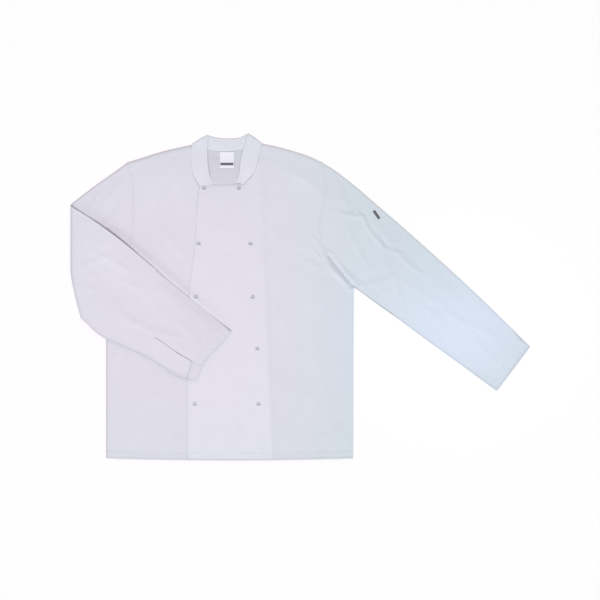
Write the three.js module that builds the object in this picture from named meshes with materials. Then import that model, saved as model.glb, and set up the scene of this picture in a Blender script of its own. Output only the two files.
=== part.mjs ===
// A double-breasted chef jacket laid flat on its back: one sleeve lies out to the side, and the other is
// folded at the elbow, so that its forearm lies across the front.
// x runs across the body from its centre line, y up from the hem, and z up from the surface that it lies on.
import * as THREE from "three";
import { mergeVertices } from "three/addons/utils/BufferGeometryUtils.js";

const { clamp, lerp, smoothstep } = THREE.MathUtils;

// Driving dimensions, in millimetres
const CLOTH = 1.2;
const COLLAR_CLOTH = 1.5;
const TRIM = 1;
const SEAM = 0.3;
const LOFT = 2.2;
const LOFT_REACH = 60;
const HEM_SAG = 2.4;
const SIDE_STEPS = 8;

// The side seams' and armholes' points, from the hem up: x on the viewer's left and on the viewer's right
const SIDES = [
  { height: 0, left: -297, right: 296.5 },
  { height: 414, left: -297, right: 298 },
];
const ARMHOLES = [
  { height: 414, left: -297, right: 298 },
  { height: 432, left: -284, right: 283 },
  { height: 455, left: -268, right: 265 },
  { height: 482, left: -251, right: 243 },
  { height: 512, left: -240, right: 227 },
  { height: 545, left: -233, right: 217 },
  { height: 580, left: -231, right: 218 },
  { height: 615, left: -231, right: 226 },
  { height: 650, left: -232, right: 231 },
  { height: 683, left: -236, right: 229 },
  { height: 712, left: -246, right: 222 },
];
const UNDERARM = 414;
const SHOULDER = 712;

// The collar's sections, from its end on the viewer's left, round the back, to its end on the right. Each
// runs from the neck seam to the collar's free edge. turn is how far the band has turned from the upper
// layer of the jacket, 0, to the lower one, 1.
const COLLAR = [
  { seamX: -68, seamY: 649, edgeX: -33, edgeY: 652, turn: 0 },
  { seamX: -78, seamY: 668, edgeX: -41, edgeY: 667, turn: 0 },
  { seamX: -88, seamY: 687, edgeX: -48, edgeY: 684, turn: 0 },
  { seamX: -91.5, seamY: 719, edgeX: -52.5, edgeY: 719, turn: 0 },
  { seamX: -90, seamY: 755, edgeX: -51.5, edgeY: 777.5, turn: 0 },
  { seamX: -90, seamY: 755, edgeX: -51.5, edgeY: 777.5, turn: 0.25 },
  { seamX: -90, seamY: 755, edgeX: -51.5, edgeY: 777.5, turn: 0.5 },
  { seamX: -90, seamY: 755, edgeX: -51.5, edgeY: 777.5, turn: 0.75 },
  { seamX: -90, seamY: 755, edgeX: -51.5, edgeY: 777.5, turn: 1 },
  { seamX: -50, seamY: 744, edgeX: -30, edgeY: 772, turn: 1 },
  { seamX: -8, seamY: 740, edgeX: -4, edgeY: 770, turn: 1 },
  { seamX: 35, seamY: 746, edgeX: 22, edgeY: 772, turn: 1 },
  { seamX: 76, seamY: 758, edgeX: 43, edgeY: 781, turn: 1 },
  { seamX: 76, seamY: 758, edgeX: 43, edgeY: 781, turn: 0.75 },
  { seamX: 76, seamY: 758, edgeX: 43, edgeY: 781, turn: 0.5 },
  { seamX: 76, seamY: 758, edgeX: 43, edgeY: 781, turn: 0.25 },
  { seamX: 76, seamY: 758, edgeX: 43, edgeY: 781, turn: 0 },
  { seamX: 69, seamY: 719, edgeX: 26.5, edgeY: 719, turn: 0 },
  { seamX: 57, seamY: 687, edgeX: 23, edgeY: 685, turn: 0 },
  { seamX: 34, seamY: 663, edgeX: 15, edgeY: 667, turn: 0 },
];
const COLLAR_COLUMNS = 6;

// The body panels' grid lines: where each starts on the hem, and the point of the top edge that it runs to.
// hold is how closely the line follows the side seam and armhole, and lap how closely the free front edge.
const UNDER_FRONT = [
  { hemX: -297, topX: -246, topY: 712, hold: 1, lap: 0 },
  { hemX: -255, topX: -208, topY: 724, hold: 0.75, lap: 0 },
  { hemX: -218, topX: -170, topY: 736, hold: 0.5, lap: 0 },
  { hemX: -180, topX: -130, topY: 746, hold: 0.25, lap: 0 },
  { hemX: -148, topX: -90.3, topY: 754.6, hold: 0, lap: 0 },
  { hemX: -112, topX: -91.9, topY: 719, hold: 0, lap: 0 },
  { hemX: -70, topX: -88.4, topY: 686.8, hold: 0, lap: 0 },
  { hemX: -40, topX: -68.4, topY: 648.5, hold: 0, lap: 0 },
  { hemX: 5, topX: -20, topY: 643, hold: 0, lap: 0 },
  { hemX: 50, topX: 28, topY: 641, hold: 0, lap: 0 },
  { hemX: 99, topX: 71, topY: 640, hold: 0, lap: 0 },
];
const OVER_FRONT = [
  { hemX: -100, topX: -71, topY: 660, hold: 0, lap: 1 },
  { hemX: -50, topX: -38, topY: 661, hold: 0, lap: 0.5 },
  { hemX: 0, topX: -3, topY: 661.5, hold: 0, lap: 0 },
  { hemX: 45, topX: 34, topY: 661.5, hold: 0, lap: 0 },
  { hemX: 75, topX: 57.3, topY: 686.7, hold: 0, lap: 0 },
  { hemX: 100, topX: 69.4, topY: 719, hold: 0, lap: 0 },
  { hemX: 128, topX: 76.3, topY: 757.6, hold: 0, lap: 0 },
  { hemX: 170, topX: 113, topY: 750, hold: 0.25, lap: 0 },
  { hemX: 213, topX: 150, topY: 740, hold: 0.5, lap: 0 },
  { hemX: 255, topX: 187, topY: 728, hold: 0.75, lap: 0 },
  { hemX: 296.5, topX: 222, topY: 712, hold: 1, lap: 0 },
];
const BACK = [
  { hemX: -297, topX: -246, topY: 712, hold: 1 },
  { hemX: -255, topX: -208, topY: 724, hold: 0.75 },
  { hemX: -213, topX: -170, topY: 736, hold: 0.5 },
  { hemX: -170, topX: -130, topY: 746, hold: 0.25 },
  { hemX: -128, topX: -90.1, topY: 754.6, hold: 0 },
  { hemX: -70, topX: -50, topY: 743.6, hold: 0 },
  { hemX: 0, topX: -8, topY: 739.6, hold: 0 },
  { hemX: 70, topX: 35, topY: 745.6, hold: 0 },
  { hemX: 128, topX: 76.1, topY: 757.6, hold: 0 },
  { hemX: 170, topX: 113, topY: 750, hold: 0.25 },
  { hemX: 213, topX: 150, topY: 740, hold: 0.5 },
  { hemX: 255, topX: 187, topY: 728, hold: 0.75 },
  { hemX: 296.5, topX: 222, topY: 712, hold: 1 },
];

// How far the over front's free edge stands out from a straight line between its ends
const LAP_EDGE = [
  { height: 0, out: 0 },
  { height: 130, out: 6 },
  { height: 300, out: 12 },
  { height: 420, out: 13 },
  { height: 520, out: 4 },
  { height: 600, out: 5 },
  { height: 661, out: 0 },
];
const LAP_RISE = COLLAR_CLOTH + SEAM;
const LAP_LINE = { hemX: 100, topX: 71, topY: 640 };
const LAP_STEP = 20;

// Each sleeve's sections, from the armhole to the cuff, before any fold: the points of the flattened
// sleeve's upper and lower edge, and how many rows of the mesh lead up to the section
const SLEEVE_OUT = [
  { topX: 222, topY: 712, lowX: 298, lowY: 414, rows: 1 },
  { topX: 248, topY: 696, lowX: 315, lowY: 402, rows: 1 },
  { topX: 275, topY: 676, lowX: 334, lowY: 388, rows: 1 },
  { topX: 361, topY: 604, lowX: 405, lowY: 337, rows: 3 },
  { topX: 476, topY: 503, lowX: 484, lowY: 279, rows: 3 },
  { topX: 592, topY: 397, lowX: 549, lowY: 232, rows: 3 },
  { topX: 722, topY: 270, lowX: 642, lowY: 164, rows: 5 },
];
const SLEEVE_FOLDED = [
  { topX: -246, topY: 712, lowX: -297, lowY: 414, rows: 1 },
  { topX: -282, topY: 686, lowX: -318, lowY: 396, rows: 1 },
  { topX: -330, topY: 652, lowX: -348, lowY: 370, rows: 2 },
  { topX: -378, topY: 615, lowX: -378, lowY: 344, rows: 2 },
  { topX: -389, topY: 607, lowX: -389, lowY: 337, rows: 6 },
  { topX: -420, topY: 588, lowX: -412, lowY: 322, rows: 1 },
  { topX: -492, topY: 538, lowX: -470, lowY: 290, rows: 2 },
  { topX: -600, topY: 449, lowX: -556, lowY: 252, rows: 3 },
  { topX: -772, topY: 307, lowX: -696, lowY: 193, rows: 6 },
];
const VENT_COLUMN = 3;
const VENT_ROWS = 5;
const FLAP = [
  { shift: 0, lift: 0 },
  { shift: -0.6, lift: 1.8 },
  { shift: 9, lift: 1.8 },
  { shift: 10, lift: 1.8 },
  { shift: 11, lift: 1.8 },
  { shift: 12, lift: 1.8 },
];
const FLAP_SHORT = 26;
const EDGE_ROUND = 1.2;

// The elbow's fold is a half turn about an upright line
const FOLD = { x: -378, height: 4, arc: 11, press: 18, turnOver: 50 };
const CORNER = { from: 452, fall: 110, pull: 24, reachLow: -384, reachHigh: -300 };
const FOREARM_LIFT = { from: -190, to: -105, rise: 3.7 };

// Soft folds of the upper layer: a ridge has a positive height and a trough a negative one
const FOLDS = [
  { x: 300, y: 560, angle: 62, long: 70, wide: 26, height: 0.9 },
  { x: 345, y: 528, angle: -52, long: 50, wide: 20, height: -1.2 },
  { x: 395, y: 492, angle: -60, long: 55, wide: 22, height: 0.8 },
  { x: 260, y: 380, angle: 35, long: 90, wide: 24, height: -1.1 },
  { x: -200, y: 560, angle: 58, long: 95, wide: 26, height: -0.9 },
  { x: 175, y: 640, angle: -48, long: 85, wide: 26, height: -0.8 },
  { x: -430, y: 480, angle: 30, long: 80, wide: 30, height: 0.8 },
  { x: 225, y: 130, angle: 78, long: 130, wide: 34, height: -0.8 },
];

// Press studs, a pair to a row: heights above the hem, and x of the pair's two caps
const STUDS = [
  { height: 650, left: -61, right: 22.5 },
  { height: 517, left: -74, right: 50.5 },
  { height: 389, left: -80.5, right: 55.5 },
  { height: 265, left: -83, right: 67 },
  { height: 132, left: -83, right: 69.5 },
];
const STUD_RADIUS = 5;
const STUD_HEIGHT = 1.6;

const LABEL = { left: -24, right: 11, low: 699, high: 739 };
const TAB = { x: 352, y: 586, long: 27, wide: 7, angle: -41 };

const white = new THREE.MeshStandardMaterial({ color: 0xdfdee8, roughness: 0.9, metalness: 0 });
const inside = new THREE.MeshStandardMaterial({ color: 0xd5d3de, roughness: 0.9, metalness: 0 });
const labelCloth = new THREE.MeshStandardMaterial({ color: 0xf6f6f8, roughness: 0.7, metalness: 0 });
const tabCloth = new THREE.MeshStandardMaterial({ color: 0x55565c, roughness: 0.8, metalness: 0 });
const studMetal = new THREE.MeshStandardMaterial({ color: 0x9a9ba1, roughness: 0.35, metalness: 0.9 });

const jacket = new THREE.Group();

// The silhouette of the unfolded jacket, where upper and lower layer meet, and its open ends
const edgeLine = (rows, x, y) => rows.map((row) => new THREE.Vector2(row[x], row[y]));
const CLOSED_EDGES = [
  edgeLine(SIDES, "left", "height"),
  edgeLine(SIDES, "right", "height"),
  edgeLine(SLEEVE_OUT, "topX", "topY"),
  edgeLine(SLEEVE_OUT, "lowX", "lowY"),
  edgeLine(SLEEVE_FOLDED, "topX", "topY"),
  edgeLine(SLEEVE_FOLDED, "lowX", "lowY"),
  edgeLine(BACK.slice(0, 5), "topX", "topY"),
  edgeLine(BACK.slice(8), "topX", "topY"),
  edgeLine(COLLAR.slice(8, 13), "edgeX", "edgeY"),
];
const cuffLine = (rows) => {
  const cuff = rows.at(-1);
  return [new THREE.Vector2(cuff.topX, cuff.topY), new THREE.Vector2(cuff.lowX, cuff.lowY)];
};
const hemLine = [new THREE.Vector2(SIDES[0].left, 0), new THREE.Vector2(SIDES[0].right, 0)];
const OPEN_EDGES = [hemLine, cuffLine(SLEEVE_OUT), cuffLine(SLEEVE_FOLDED)];
const ARMHOLE_LINES = [edgeLine(ARMHOLES, "left", "height"), edgeLine(ARMHOLES, "right", "height")];
const elbowX = FOLD.x - FOLD.arc / 2;
const ELBOW_LINE = [[new THREE.Vector2(elbowX, 340), new THREE.Vector2(elbowX, 612)]];

function distanceTo(lines, x, y) {
  let nearest = Infinity;
  for (const line of lines) {
    for (let i = 1; i < line.length; i++) {
      const from = line[i - 1];
      const alongX = line[i].x - from.x;
      const alongY = line[i].y - from.y;
      const share = ((x - from.x) * alongX + (y - from.y) * alongY) / (alongX * alongX + alongY * alongY);
      const t = clamp(share, 0, 1);
      nearest = Math.min(nearest, Math.hypot(x - from.x - t * alongX, y - from.y - t * alongY));
    }
  }
  return nearest;
}

function foldHeight(x, y) {
  let height = 0;
  for (const fold of FOLDS) {
    const turn = THREE.MathUtils.degToRad(fold.angle);
    const along = (x - fold.x) * Math.cos(turn) + (y - fold.y) * Math.sin(turn);
    const across = (y - fold.y) * Math.cos(turn) - (x - fold.x) * Math.sin(turn);
    height += fold.height * Math.exp(-((along / fold.long) ** 2) - (across / fold.wide) ** 2);
  }
  return height;
}

// Height of the upper layer's underside at a point of the unfolded jacket
function floorOfUpper(x, y) {
  const rise = smoothstep(distanceTo(CLOSED_EDGES, x, y), 0, LOFT_REACH);
  const open = 0.5 + 0.5 * smoothstep(distanceTo(OPEN_EDGES, x, y), 0, LOFT_REACH);
  const armhole = 1 - 0.6 * Math.exp(-((distanceTo(ARMHOLE_LINES, x, y) / 22) ** 2));
  const elbow = 1 - 0.8 * Math.exp(-((distanceTo(ELBOW_LINE, x, y) / FOLD.press) ** 2));
  const loft = rise * open * armhole * elbow * (LOFT + foldHeight(x, y));
  return CLOTH + SEAM + clamp(loft, 0, LOFT);
}

// A closed cloth wall between two grids of points. In its first ringRows rows the first and the last column
// are one line, so the wall is a ring there.
function clothWall(name, outer, inner, material, ringRows = 0) {
  const rows = outer.length;
  const columns = outer[0].length;
  const layer = rows * columns;
  const index = [];
  const quad = (a, b, c, d) => index.push(a, b, c, a, c, d);
  for (let r = 0; r < rows - 1; r++) {
    for (let c = 0; c < columns - 1; c++) {
      const at = r * columns + c;
      quad(at, at + 1, at + columns + 1, at + columns);
      quad(layer + at, layer + at + columns, layer + at + columns + 1, layer + at + 1);
    }
  }
  for (let c = 0; c < columns - 1; c++) {
    const last = (rows - 1) * columns + c;
    quad(c, layer + c, layer + c + 1, c + 1);
    quad(last, last + 1, layer + last + 1, layer + last);
  }
  for (let r = ringRows; r < rows - 1; r++) {
    const first = r * columns;
    const last = first + columns - 1;
    quad(first, first + columns, layer + first + columns, layer + first);
    quad(last, layer + last, layer + last + columns, last + columns);
  }
  const points = [...outer.flat(), ...inner.flat()];
  let volume = 0;
  for (let i = 0; i < index.length; i += 3) {
    const [a, b, c] = [points[index[i]], points[index[i + 1]], points[index[i + 2]]];
    volume += a.dot(b.clone().cross(c));
  }
  if (volume < 0) index.reverse();
  const geometry = new THREE.BufferGeometry().setFromPoints(points).setIndex(index);
  const joined = mergeVertices(geometry, 1e-3);
  joined.computeVertexNormals();
  const mesh = new THREE.Mesh(joined, material);
  mesh.name = name;
  jacket.add(mesh);
  return mesh;
}

const raised = (grid, height) => grid.map((row) => row.map((p) => new THREE.Vector3(p.x, p.y, p.z + height)));

function tableAt(table, height, column) {
  const next = table.findIndex((row) => row.height >= height);
  if (next <= 0) return table[0][column];
  const [low, high] = [table[next - 1], table[next]];
  return lerp(low[column], high[column], (height - low.height) / (high.height - low.height));
}

// Body panels: rows share the side seam's steps and then the armhole's own points
const panelRows = [];
for (let i = 0; i < SIDE_STEPS; i++) panelRows.push({ height: (UNDERARM * i) / SIDE_STEPS, table: SIDES });
for (const row of ARMHOLES) panelRows.push({ height: row.height, table: ARMHOLES });

const hemHeight = (x) => HEM_SAG * (2 * (x / SIDES[0].left) ** 2 - 1);

// A panel's grid of points. The points of a line that holds to a side follow that side's curve.
function panelGrid(columns, floor) {
  const leftLine = columns[0];
  const rightLine = columns.at(-1);
  return panelRows.map(({ height, table }) => {
    const share = height / SHOULDER;
    return columns.map((line) => {
      const side = line.hemX < 0 ? "left" : "right";
      const tip = line.hemX < 0 ? leftLine : rightLine;
      let x = lerp(line.hemX, line.topX, share);
      let y = lerp(hemHeight(line.hemX), line.topY, share);
      if (line.hold) {
        const straightX = lerp(tip.hemX, tip.topX, share);
        const straightY = lerp(hemHeight(tip.hemX), tip.topY, share);
        const fade = line.hold * (1 - 0.25 * (1 - line.hold));
        x += fade * (tableAt(table, height, side) - straightX);
        const hemPull = hemHeight(tip.hemX) * Math.max(0, 1 - height / UNDERARM);
        y += line.hold * (height + hemPull - straightY);
      }
      if (line.lap) x -= line.lap * tableAt(LAP_EDGE, y, "out");
      return new THREE.Vector3(x, y, floor(x, y));
    });
  });
}

// The over front rises where it laps over the under front, and steps down just past that front's edge
function floorOfOverFront(x, y) {
  const lapX = lerp(LAP_LINE.hemX, LAP_LINE.topX, y / LAP_LINE.topY);
  return floorOfUpper(x, y) + LAP_RISE * (1 - smoothstep(x, lapX + 2, lapX + LAP_STEP));
}

function panel(name, columns, floor, material) {
  const grid = panelGrid(columns, floor);
  return clothWall(name, raised(grid, CLOTH), grid, material);
}

// Back, cut in one piece
panel("back", BACK, () => 0, inside);

// Wearer's right front, which lies under, and wearer's left front, which laps over it
panel("front_under", UNDER_FRONT, floorOfUpper, white);
const overFront = panel("front_over", OVER_FRONT, floorOfOverFront, white);

// Stand collar: one band from front end to front end, folded flat at the two sides of the neck
function collarSection(section, share) {
  const x = lerp(section.seamX, section.edgeX, share);
  const y = lerp(section.seamY, section.edgeY, share);
  const upper = floorOfUpper(x, y) + COLLAR_CLOTH / 2;
  const lower = COLLAR_CLOTH / 2;
  const angle = Math.PI * section.turn;
  const radius = (upper - lower) / 2;
  const outward = new THREE.Vector2(section.seamY - section.edgeY, section.edgeX - section.seamX).normalize();
  if (section.seamX > 0) outward.negate();
  const bulge = radius * Math.sin(angle);
  const height = (upper + lower) / 2 + radius * Math.cos(angle);
  const centre = new THREE.Vector3(x + outward.x * bulge, y + outward.y * bulge, height);
  const across = new THREE.Vector3(outward.x * Math.sin(angle), outward.y * Math.sin(angle), Math.cos(angle));
  return { centre, across };
}

function collar() {
  const outer = [];
  const inner = [];
  for (const section of COLLAR) {
    const outerRow = [];
    const innerRow = [];
    for (let c = 0; c <= COLLAR_COLUMNS; c++) {
      const { centre, across } = collarSection(section, c / COLLAR_COLUMNS);
      outerRow.push(centre.clone().addScaledVector(across, COLLAR_CLOTH / 2));
      innerRow.push(centre.clone().addScaledVector(across, -COLLAR_CLOTH / 2));
    }
    outer.push(outerRow);
    inner.push(innerRow);
  }
  clothWall("collar", outer, inner, white);
}
collar();

// Sleeves: each is a flattened ring of two layers, from the armhole to the cuff, with a slit at the cuff
function sleeveStations(sections) {
  const stations = [];
  sections.forEach((section, i) => {
    const before = sections[Math.max(i - 1, 0)];
    for (let r = 1; r <= section.rows; r++) {
      const share = r / section.rows;
      const mix = (key) => lerp(before[key], section[key], share);
      stations.push({ topX: mix("topX"), topY: mix("topY"), lowX: mix("lowX"), lowY: mix("lowY") });
    }
  });
  return stations;
}

// A ring starts at the vent, runs along the under layer to the lower edge, back over the top, and round to
// the vent. flap is how far a point rises with the vent's flap, and short how far it ends before the cuff.
const ringColumns = [];
for (let c = VENT_COLUMN; c >= 0; c--) {
  ringColumns.push({ column: c, layer: "under", flap: c / VENT_COLUMN, short: 1 });
}
ringColumns.push({ column: 0, layer: "edge", flap: 0, short: 0.8 });
for (let c = 0; c < ARMHOLES.length; c++) {
  ringColumns.push({ column: c, layer: "over", flap: 0, short: Math.max(0, 0.6 - 0.3 * c) });
}
ringColumns.push({ column: ARMHOLES.length - 1, layer: "edge", flap: 0, short: 0 });
for (let c = ARMHOLES.length - 1; c >= VENT_COLUMN; c--) {
  ringColumns.push({ column: c, layer: "under", flap: 0, short: 0 });
}

function sleeve(name, sections, side, flapOpen, place) {
  const stations = sleeveStations(sections);
  const outward = side === "left" ? -1 : 1;
  const ventRow = stations.length - 1 - VENT_ROWS;
  const armholeTop = ARMHOLES.at(-1);
  const armholeShare = (row) => (row.height - UNDERARM) / (SHOULDER - UNDERARM);

  // The plan of a ring's point, some way in from the silhouette
  function plan(station, column, inset, short) {
    const low = Math.floor(station);
    const a = stations[low];
    const b = stations[Math.min(low + 1, stations.length - 1)];
    const mix = (key) => lerp(a[key], b[key], station - low);
    const top = new THREE.Vector2(mix("topX"), mix("topY"));
    const bottom = new THREE.Vector2(mix("lowX"), mix("lowY"));
    const row = ARMHOLES[column];
    const share = armholeShare(row);
    const width = top.distanceTo(bottom);
    const point = bottom.clone().lerp(top, clamp(share, inset / width, 1 - inset / width));
    const bow = (1 - clamp(station / 4, 0, 1)) ** 2;
    point.x += bow * (row[side] - lerp(ARMHOLES[0][side], armholeTop[side], share));
    point.x += outward * SEAM * 1.5;
    const cuffward = new THREE.Vector2(b.lowX - a.lowX, b.lowY - a.lowY);
    if (short && cuffward.length() > 0) point.addScaledVector(cuffward.normalize(), -short);
    return { point, upward: top.sub(bottom).normalize() };
  }

  function ringPoint(r, ring, isOuter) {
    const pastVent = Math.max(0, r - ventRow);
    const flap = FLAP[pastVent];
    const short = flapOpen * ring.short * FLAP_SHORT * clamp(pastVent / VENT_ROWS, 0, 1);
    const edgeInset = { under: EDGE_ROUND, over: EDGE_ROUND, edge: 0 }[ring.layer] + (isOuter ? 0 : CLOTH);
    const { point, upward } = plan(r, ring.column, edgeInset, short);
    const openSlit = ring.flap === 1 ? lerp(Math.min(flap.shift, 0), flap.shift, flapOpen) : 0;
    point.addScaledVector(upward, openSlit);
    // Past the elbow's fold the under layer lies on top, so it is that layer which is lofted
    const turned = flapOpen * smoothstep(FOLD.x - FOLD.arc - point.x, 0, FOLD.turnOver);
    const loft = floorOfUpper(point.x, point.y) - CLOTH - SEAM;
    let z = CLOTH + SEAM / 2;
    if (ring.layer === "under") z = (isOuter ? 0 : CLOTH) - loft * turned;
    if (ring.layer === "over") z = CLOTH + SEAM + loft * (1 - turned) + (isOuter ? CLOTH : 0);
    z -= flapOpen * flap.lift * ring.flap;
    return place(new THREE.Vector3(point.x, point.y, z));
  }

  const outer = stations.map((_, r) => ringColumns.map((ring) => ringPoint(r, ring, true)));
  const inner = stations.map((_, r) => ringColumns.map((ring) => ringPoint(r, ring, false)));
  return clothWall(name, outer, inner, white, ventRow);
}

// The forearm turns over at the elbow, its lower corner slips inwards, and its end lies on the lapped fronts
function foldAtElbow(point) {
  const past = FOLD.x - point.x;
  const folded = point.clone();
  if (past > 0 && past < FOLD.arc) {
    const angle = (Math.PI * past) / FOLD.arc;
    folded.x = FOLD.x - (FOLD.height - point.z) * Math.sin(angle);
    folded.z = FOLD.height - (FOLD.height - point.z) * Math.cos(angle);
  } else if (past >= FOLD.arc) {
    folded.x = FOLD.x + past - FOLD.arc;
    folded.z = 2 * FOLD.height - point.z;
    folded.z += FOREARM_LIFT.rise * smoothstep(folded.x, FOREARM_LIFT.from, FOREARM_LIFT.to);
  }
  const slip = clamp((CORNER.from - folded.y) / CORNER.fall, 0, 1) ** 1.3;
  folded.x += CORNER.pull * slip * (1 - smoothstep(folded.x, CORNER.reachLow, CORNER.reachHigh));
  return folded;
}

const sleeveOut = sleeve("sleeve_left", SLEEVE_OUT, "right", 0, (point) => point);
sleeve("sleeve_right", SLEEVE_FOLDED, "left", 1, foldAtElbow);

// What lies on a panel is placed on that panel's own surface
const downward = new THREE.Vector3(0, 0, -1);
function surfaceHeight(mesh, x, y) {
  const ray = new THREE.Raycaster(new THREE.Vector3(x, y, 100), downward);
  return ray.intersectObject(mesh)[0].point.z;
}

function stud(name, x, y) {
  const profile = [
    [0, 0],
    [STUD_RADIUS, 0],
    [STUD_RADIUS, STUD_HEIGHT * 0.4],
    [STUD_RADIUS * 0.8, STUD_HEIGHT * 0.85],
    [0, STUD_HEIGHT],
  ].map(([radius, height]) => new THREE.Vector2(radius, height));
  const mesh = new THREE.Mesh(new THREE.LatheGeometry(profile, 12), studMetal);
  let seat = surfaceHeight(overFront, x, y);
  for (const [acrossCap, upCap] of [[1, 0], [-1, 0], [0, 1], [0, -1]]) {
    seat = Math.max(seat, surfaceHeight(overFront, x + acrossCap * STUD_RADIUS, y + upCap * STUD_RADIUS));
  }
  mesh.rotation.x = Math.PI / 2;
  mesh.position.set(x, y, seat + SEAM);
  mesh.name = name;
  jacket.add(mesh);
}
STUDS.forEach((row, i) => {
  stud("stud_left_" + (i + 1), row.left, row.height);
  stud("stud_right_" + (i + 1), row.right, row.height);
});

// Neck label, sewn in below the back neck seam, and the small tab on the sleeve that lies out
const neckLabel = [LABEL.low, LABEL.high].map((y) =>
  [LABEL.left, LABEL.right].map((x) => new THREE.Vector3(x, y, CLOTH + SEAM)),
);
clothWall("label_neck", raised(neckLabel, TRIM), neckLabel, labelCloth);

const tabTurn = THREE.MathUtils.degToRad(TAB.angle);
const sleeveTab = [-1, 0, 1].map((along) =>
  [-1, 0, 1].map((across) => {
    const x = TAB.x + (along * TAB.long * Math.cos(tabTurn) - across * TAB.wide * Math.sin(tabTurn)) / 2;
    const y = TAB.y + (along * TAB.long * Math.sin(tabTurn) + across * TAB.wide * Math.cos(tabTurn)) / 2;
    return new THREE.Vector3(x, y, surfaceHeight(sleeveOut, x, y) + SEAM);
  }),
);
clothWall("label_sleeve", raised(sleeveTab, TRIM), sleeveTab, tabCloth);

// The origin is under the middle of the whole jacket, on the surface that it lies on
const centre = new THREE.Box3().setFromObject(jacket).getCenter(new THREE.Vector3());
const placed = new THREE.Group();
jacket.position.set(-centre.x, -centre.y, 0);
placed.add(jacket);

export default placed;
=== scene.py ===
import math

import bpy
import numpy as np
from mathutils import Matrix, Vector


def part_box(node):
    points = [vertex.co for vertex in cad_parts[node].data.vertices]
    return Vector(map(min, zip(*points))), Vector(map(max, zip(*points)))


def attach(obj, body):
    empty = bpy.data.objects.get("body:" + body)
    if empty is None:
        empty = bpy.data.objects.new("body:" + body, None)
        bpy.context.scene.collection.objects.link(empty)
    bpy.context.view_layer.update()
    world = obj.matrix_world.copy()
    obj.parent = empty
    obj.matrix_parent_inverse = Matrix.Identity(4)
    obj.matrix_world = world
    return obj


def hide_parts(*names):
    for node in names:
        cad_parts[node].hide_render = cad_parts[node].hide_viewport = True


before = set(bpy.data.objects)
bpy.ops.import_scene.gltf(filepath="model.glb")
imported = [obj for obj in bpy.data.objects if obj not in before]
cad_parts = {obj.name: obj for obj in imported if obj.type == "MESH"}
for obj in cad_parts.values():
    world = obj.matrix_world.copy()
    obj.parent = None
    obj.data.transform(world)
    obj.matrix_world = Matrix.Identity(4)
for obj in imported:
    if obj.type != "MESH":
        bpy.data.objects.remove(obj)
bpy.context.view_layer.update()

# The camera hangs straight over the jacket, which lies on a white table with its collar away from the viewer.
# Every place in this script is in the cutting pattern's millimetres: x runs across from the middle of the
# hem, y up from the hem, and z up from the table.
MM = 0.001
HEM_LEFT = -297.0
HEM_RIGHT = 296.5
HEM_SAG = 2.4
back_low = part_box("back")[0]
pattern_origin = np.array([back_low.x - HEM_LEFT * MM, back_low.y + HEM_SAG * MM, 0.0])


def placed(points):
    """Pattern millimetres, as points in metres in the part's own frame."""
    return np.asarray(points, float) * MM + pattern_origin


def xy(points):
    return points[..., 0], points[..., 1]


CAMERA_PLACE = (169.2, 382.8, 3405)
lens = bpy.data.cameras.new("overhead")
lens.lens = 85
lens.sensor_width = 36
camera = bpy.data.objects.new("overhead", lens)
camera.location = placed(CAMERA_PLACE)
bpy.context.collection.objects.link(camera)
bpy.context.scene.camera = camera
bpy.context.scene.view_settings.view_transform = "Standard"

# White table top, well past the picture's edges, so that only the jacket's own soft shadow shows on it
TABLE_HALF = 6000
TABLE_HEIGHT = -0.4
table_mesh = bpy.data.meshes.new("table_top")
table_corners = [(-1, -1), (1, -1), (1, 1), (-1, 1)]
table_points = [placed((sx * TABLE_HALF, sy * TABLE_HALF, TABLE_HEIGHT)) for sx, sy in table_corners]
table_mesh.from_pydata([tuple(p) for p in table_points], [], [(0, 1, 2, 3)])
table_top = bpy.data.objects.new("table_top", table_mesh)
bpy.context.collection.objects.link(table_top)
table_paint = bpy.data.materials.new("table_white")
table_paint.use_nodes = True
table_shader = table_paint.node_tree.nodes["Principled BSDF"]
table_shader.inputs["Base Color"].default_value = (0.88, 0.88, 0.88, 1)
table_shader.inputs["Roughness"].default_value = 0.9
table_shader.inputs["Emission Color"].default_value = (1, 1, 1, 1)
table_shader.inputs["Emission Strength"].default_value = 0.09
table_mesh.materials.append(table_paint)


# Studio light: a soft key from beyond the hem, a weak warm panel low over the body and the folded sleeve, a
# weak cool one over the outer forearm, and a white room all round
def aimed(name, light, place, aim):
    holder = bpy.data.objects.new(name, light)
    holder.location = placed(place)
    holder.rotation_euler = Vector(placed(aim) - placed(place)).to_track_quat("-Z", "Y").to_euler()
    holder.visible_camera = False
    bpy.context.collection.objects.link(holder)


def panel_lamp(name, place, across, upward, power, tint):
    """A lamp that faces straight down, across by upward millimetres."""
    light = bpy.data.lights.new(name, "AREA")
    light.shape = "RECTANGLE"
    light.size = across * MM
    light.size_y = upward * MM
    light.energy = power
    light.color = tint
    aimed(name, light, place, (place[0], place[1], 0))


key = bpy.data.lights.new("soft_key", "SUN")
key.energy = 1.6
key.angle = math.radians(24)
aimed("soft_key", key, (-250, -1500, 2150), (0, 380, 0))
panel_lamp("warm_panel", (-132, 380, 120), 695, 820, 0.34, (1.0, 0.08, 0.38))
panel_lamp("cool_panel", (560, 310, 190), 260, 150, 0.11, (0.5, 0.48, 1.0))
room = bpy.data.worlds.new("white_room")
room.use_nodes = True
room.node_tree.nodes["Background"].inputs["Color"].default_value = (1, 1, 1, 1)
room.node_tree.nodes["Background"].inputs["Strength"].default_value = 0.635
bpy.context.scene.world = room

# The back: one panel of white poly-cotton twill, from the hem to the shoulder seams and the neck. It lies on
# the table, and its inside shows in the neck opening. The panel's outline is drafted first, because every
# other piece is cut to it.
UNDERARM = 414.0
SHOULDER = 712.0
SIDE_STEPS = 8
BACK_CLOTH = 1.0
CLOTH = 0.8

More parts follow.
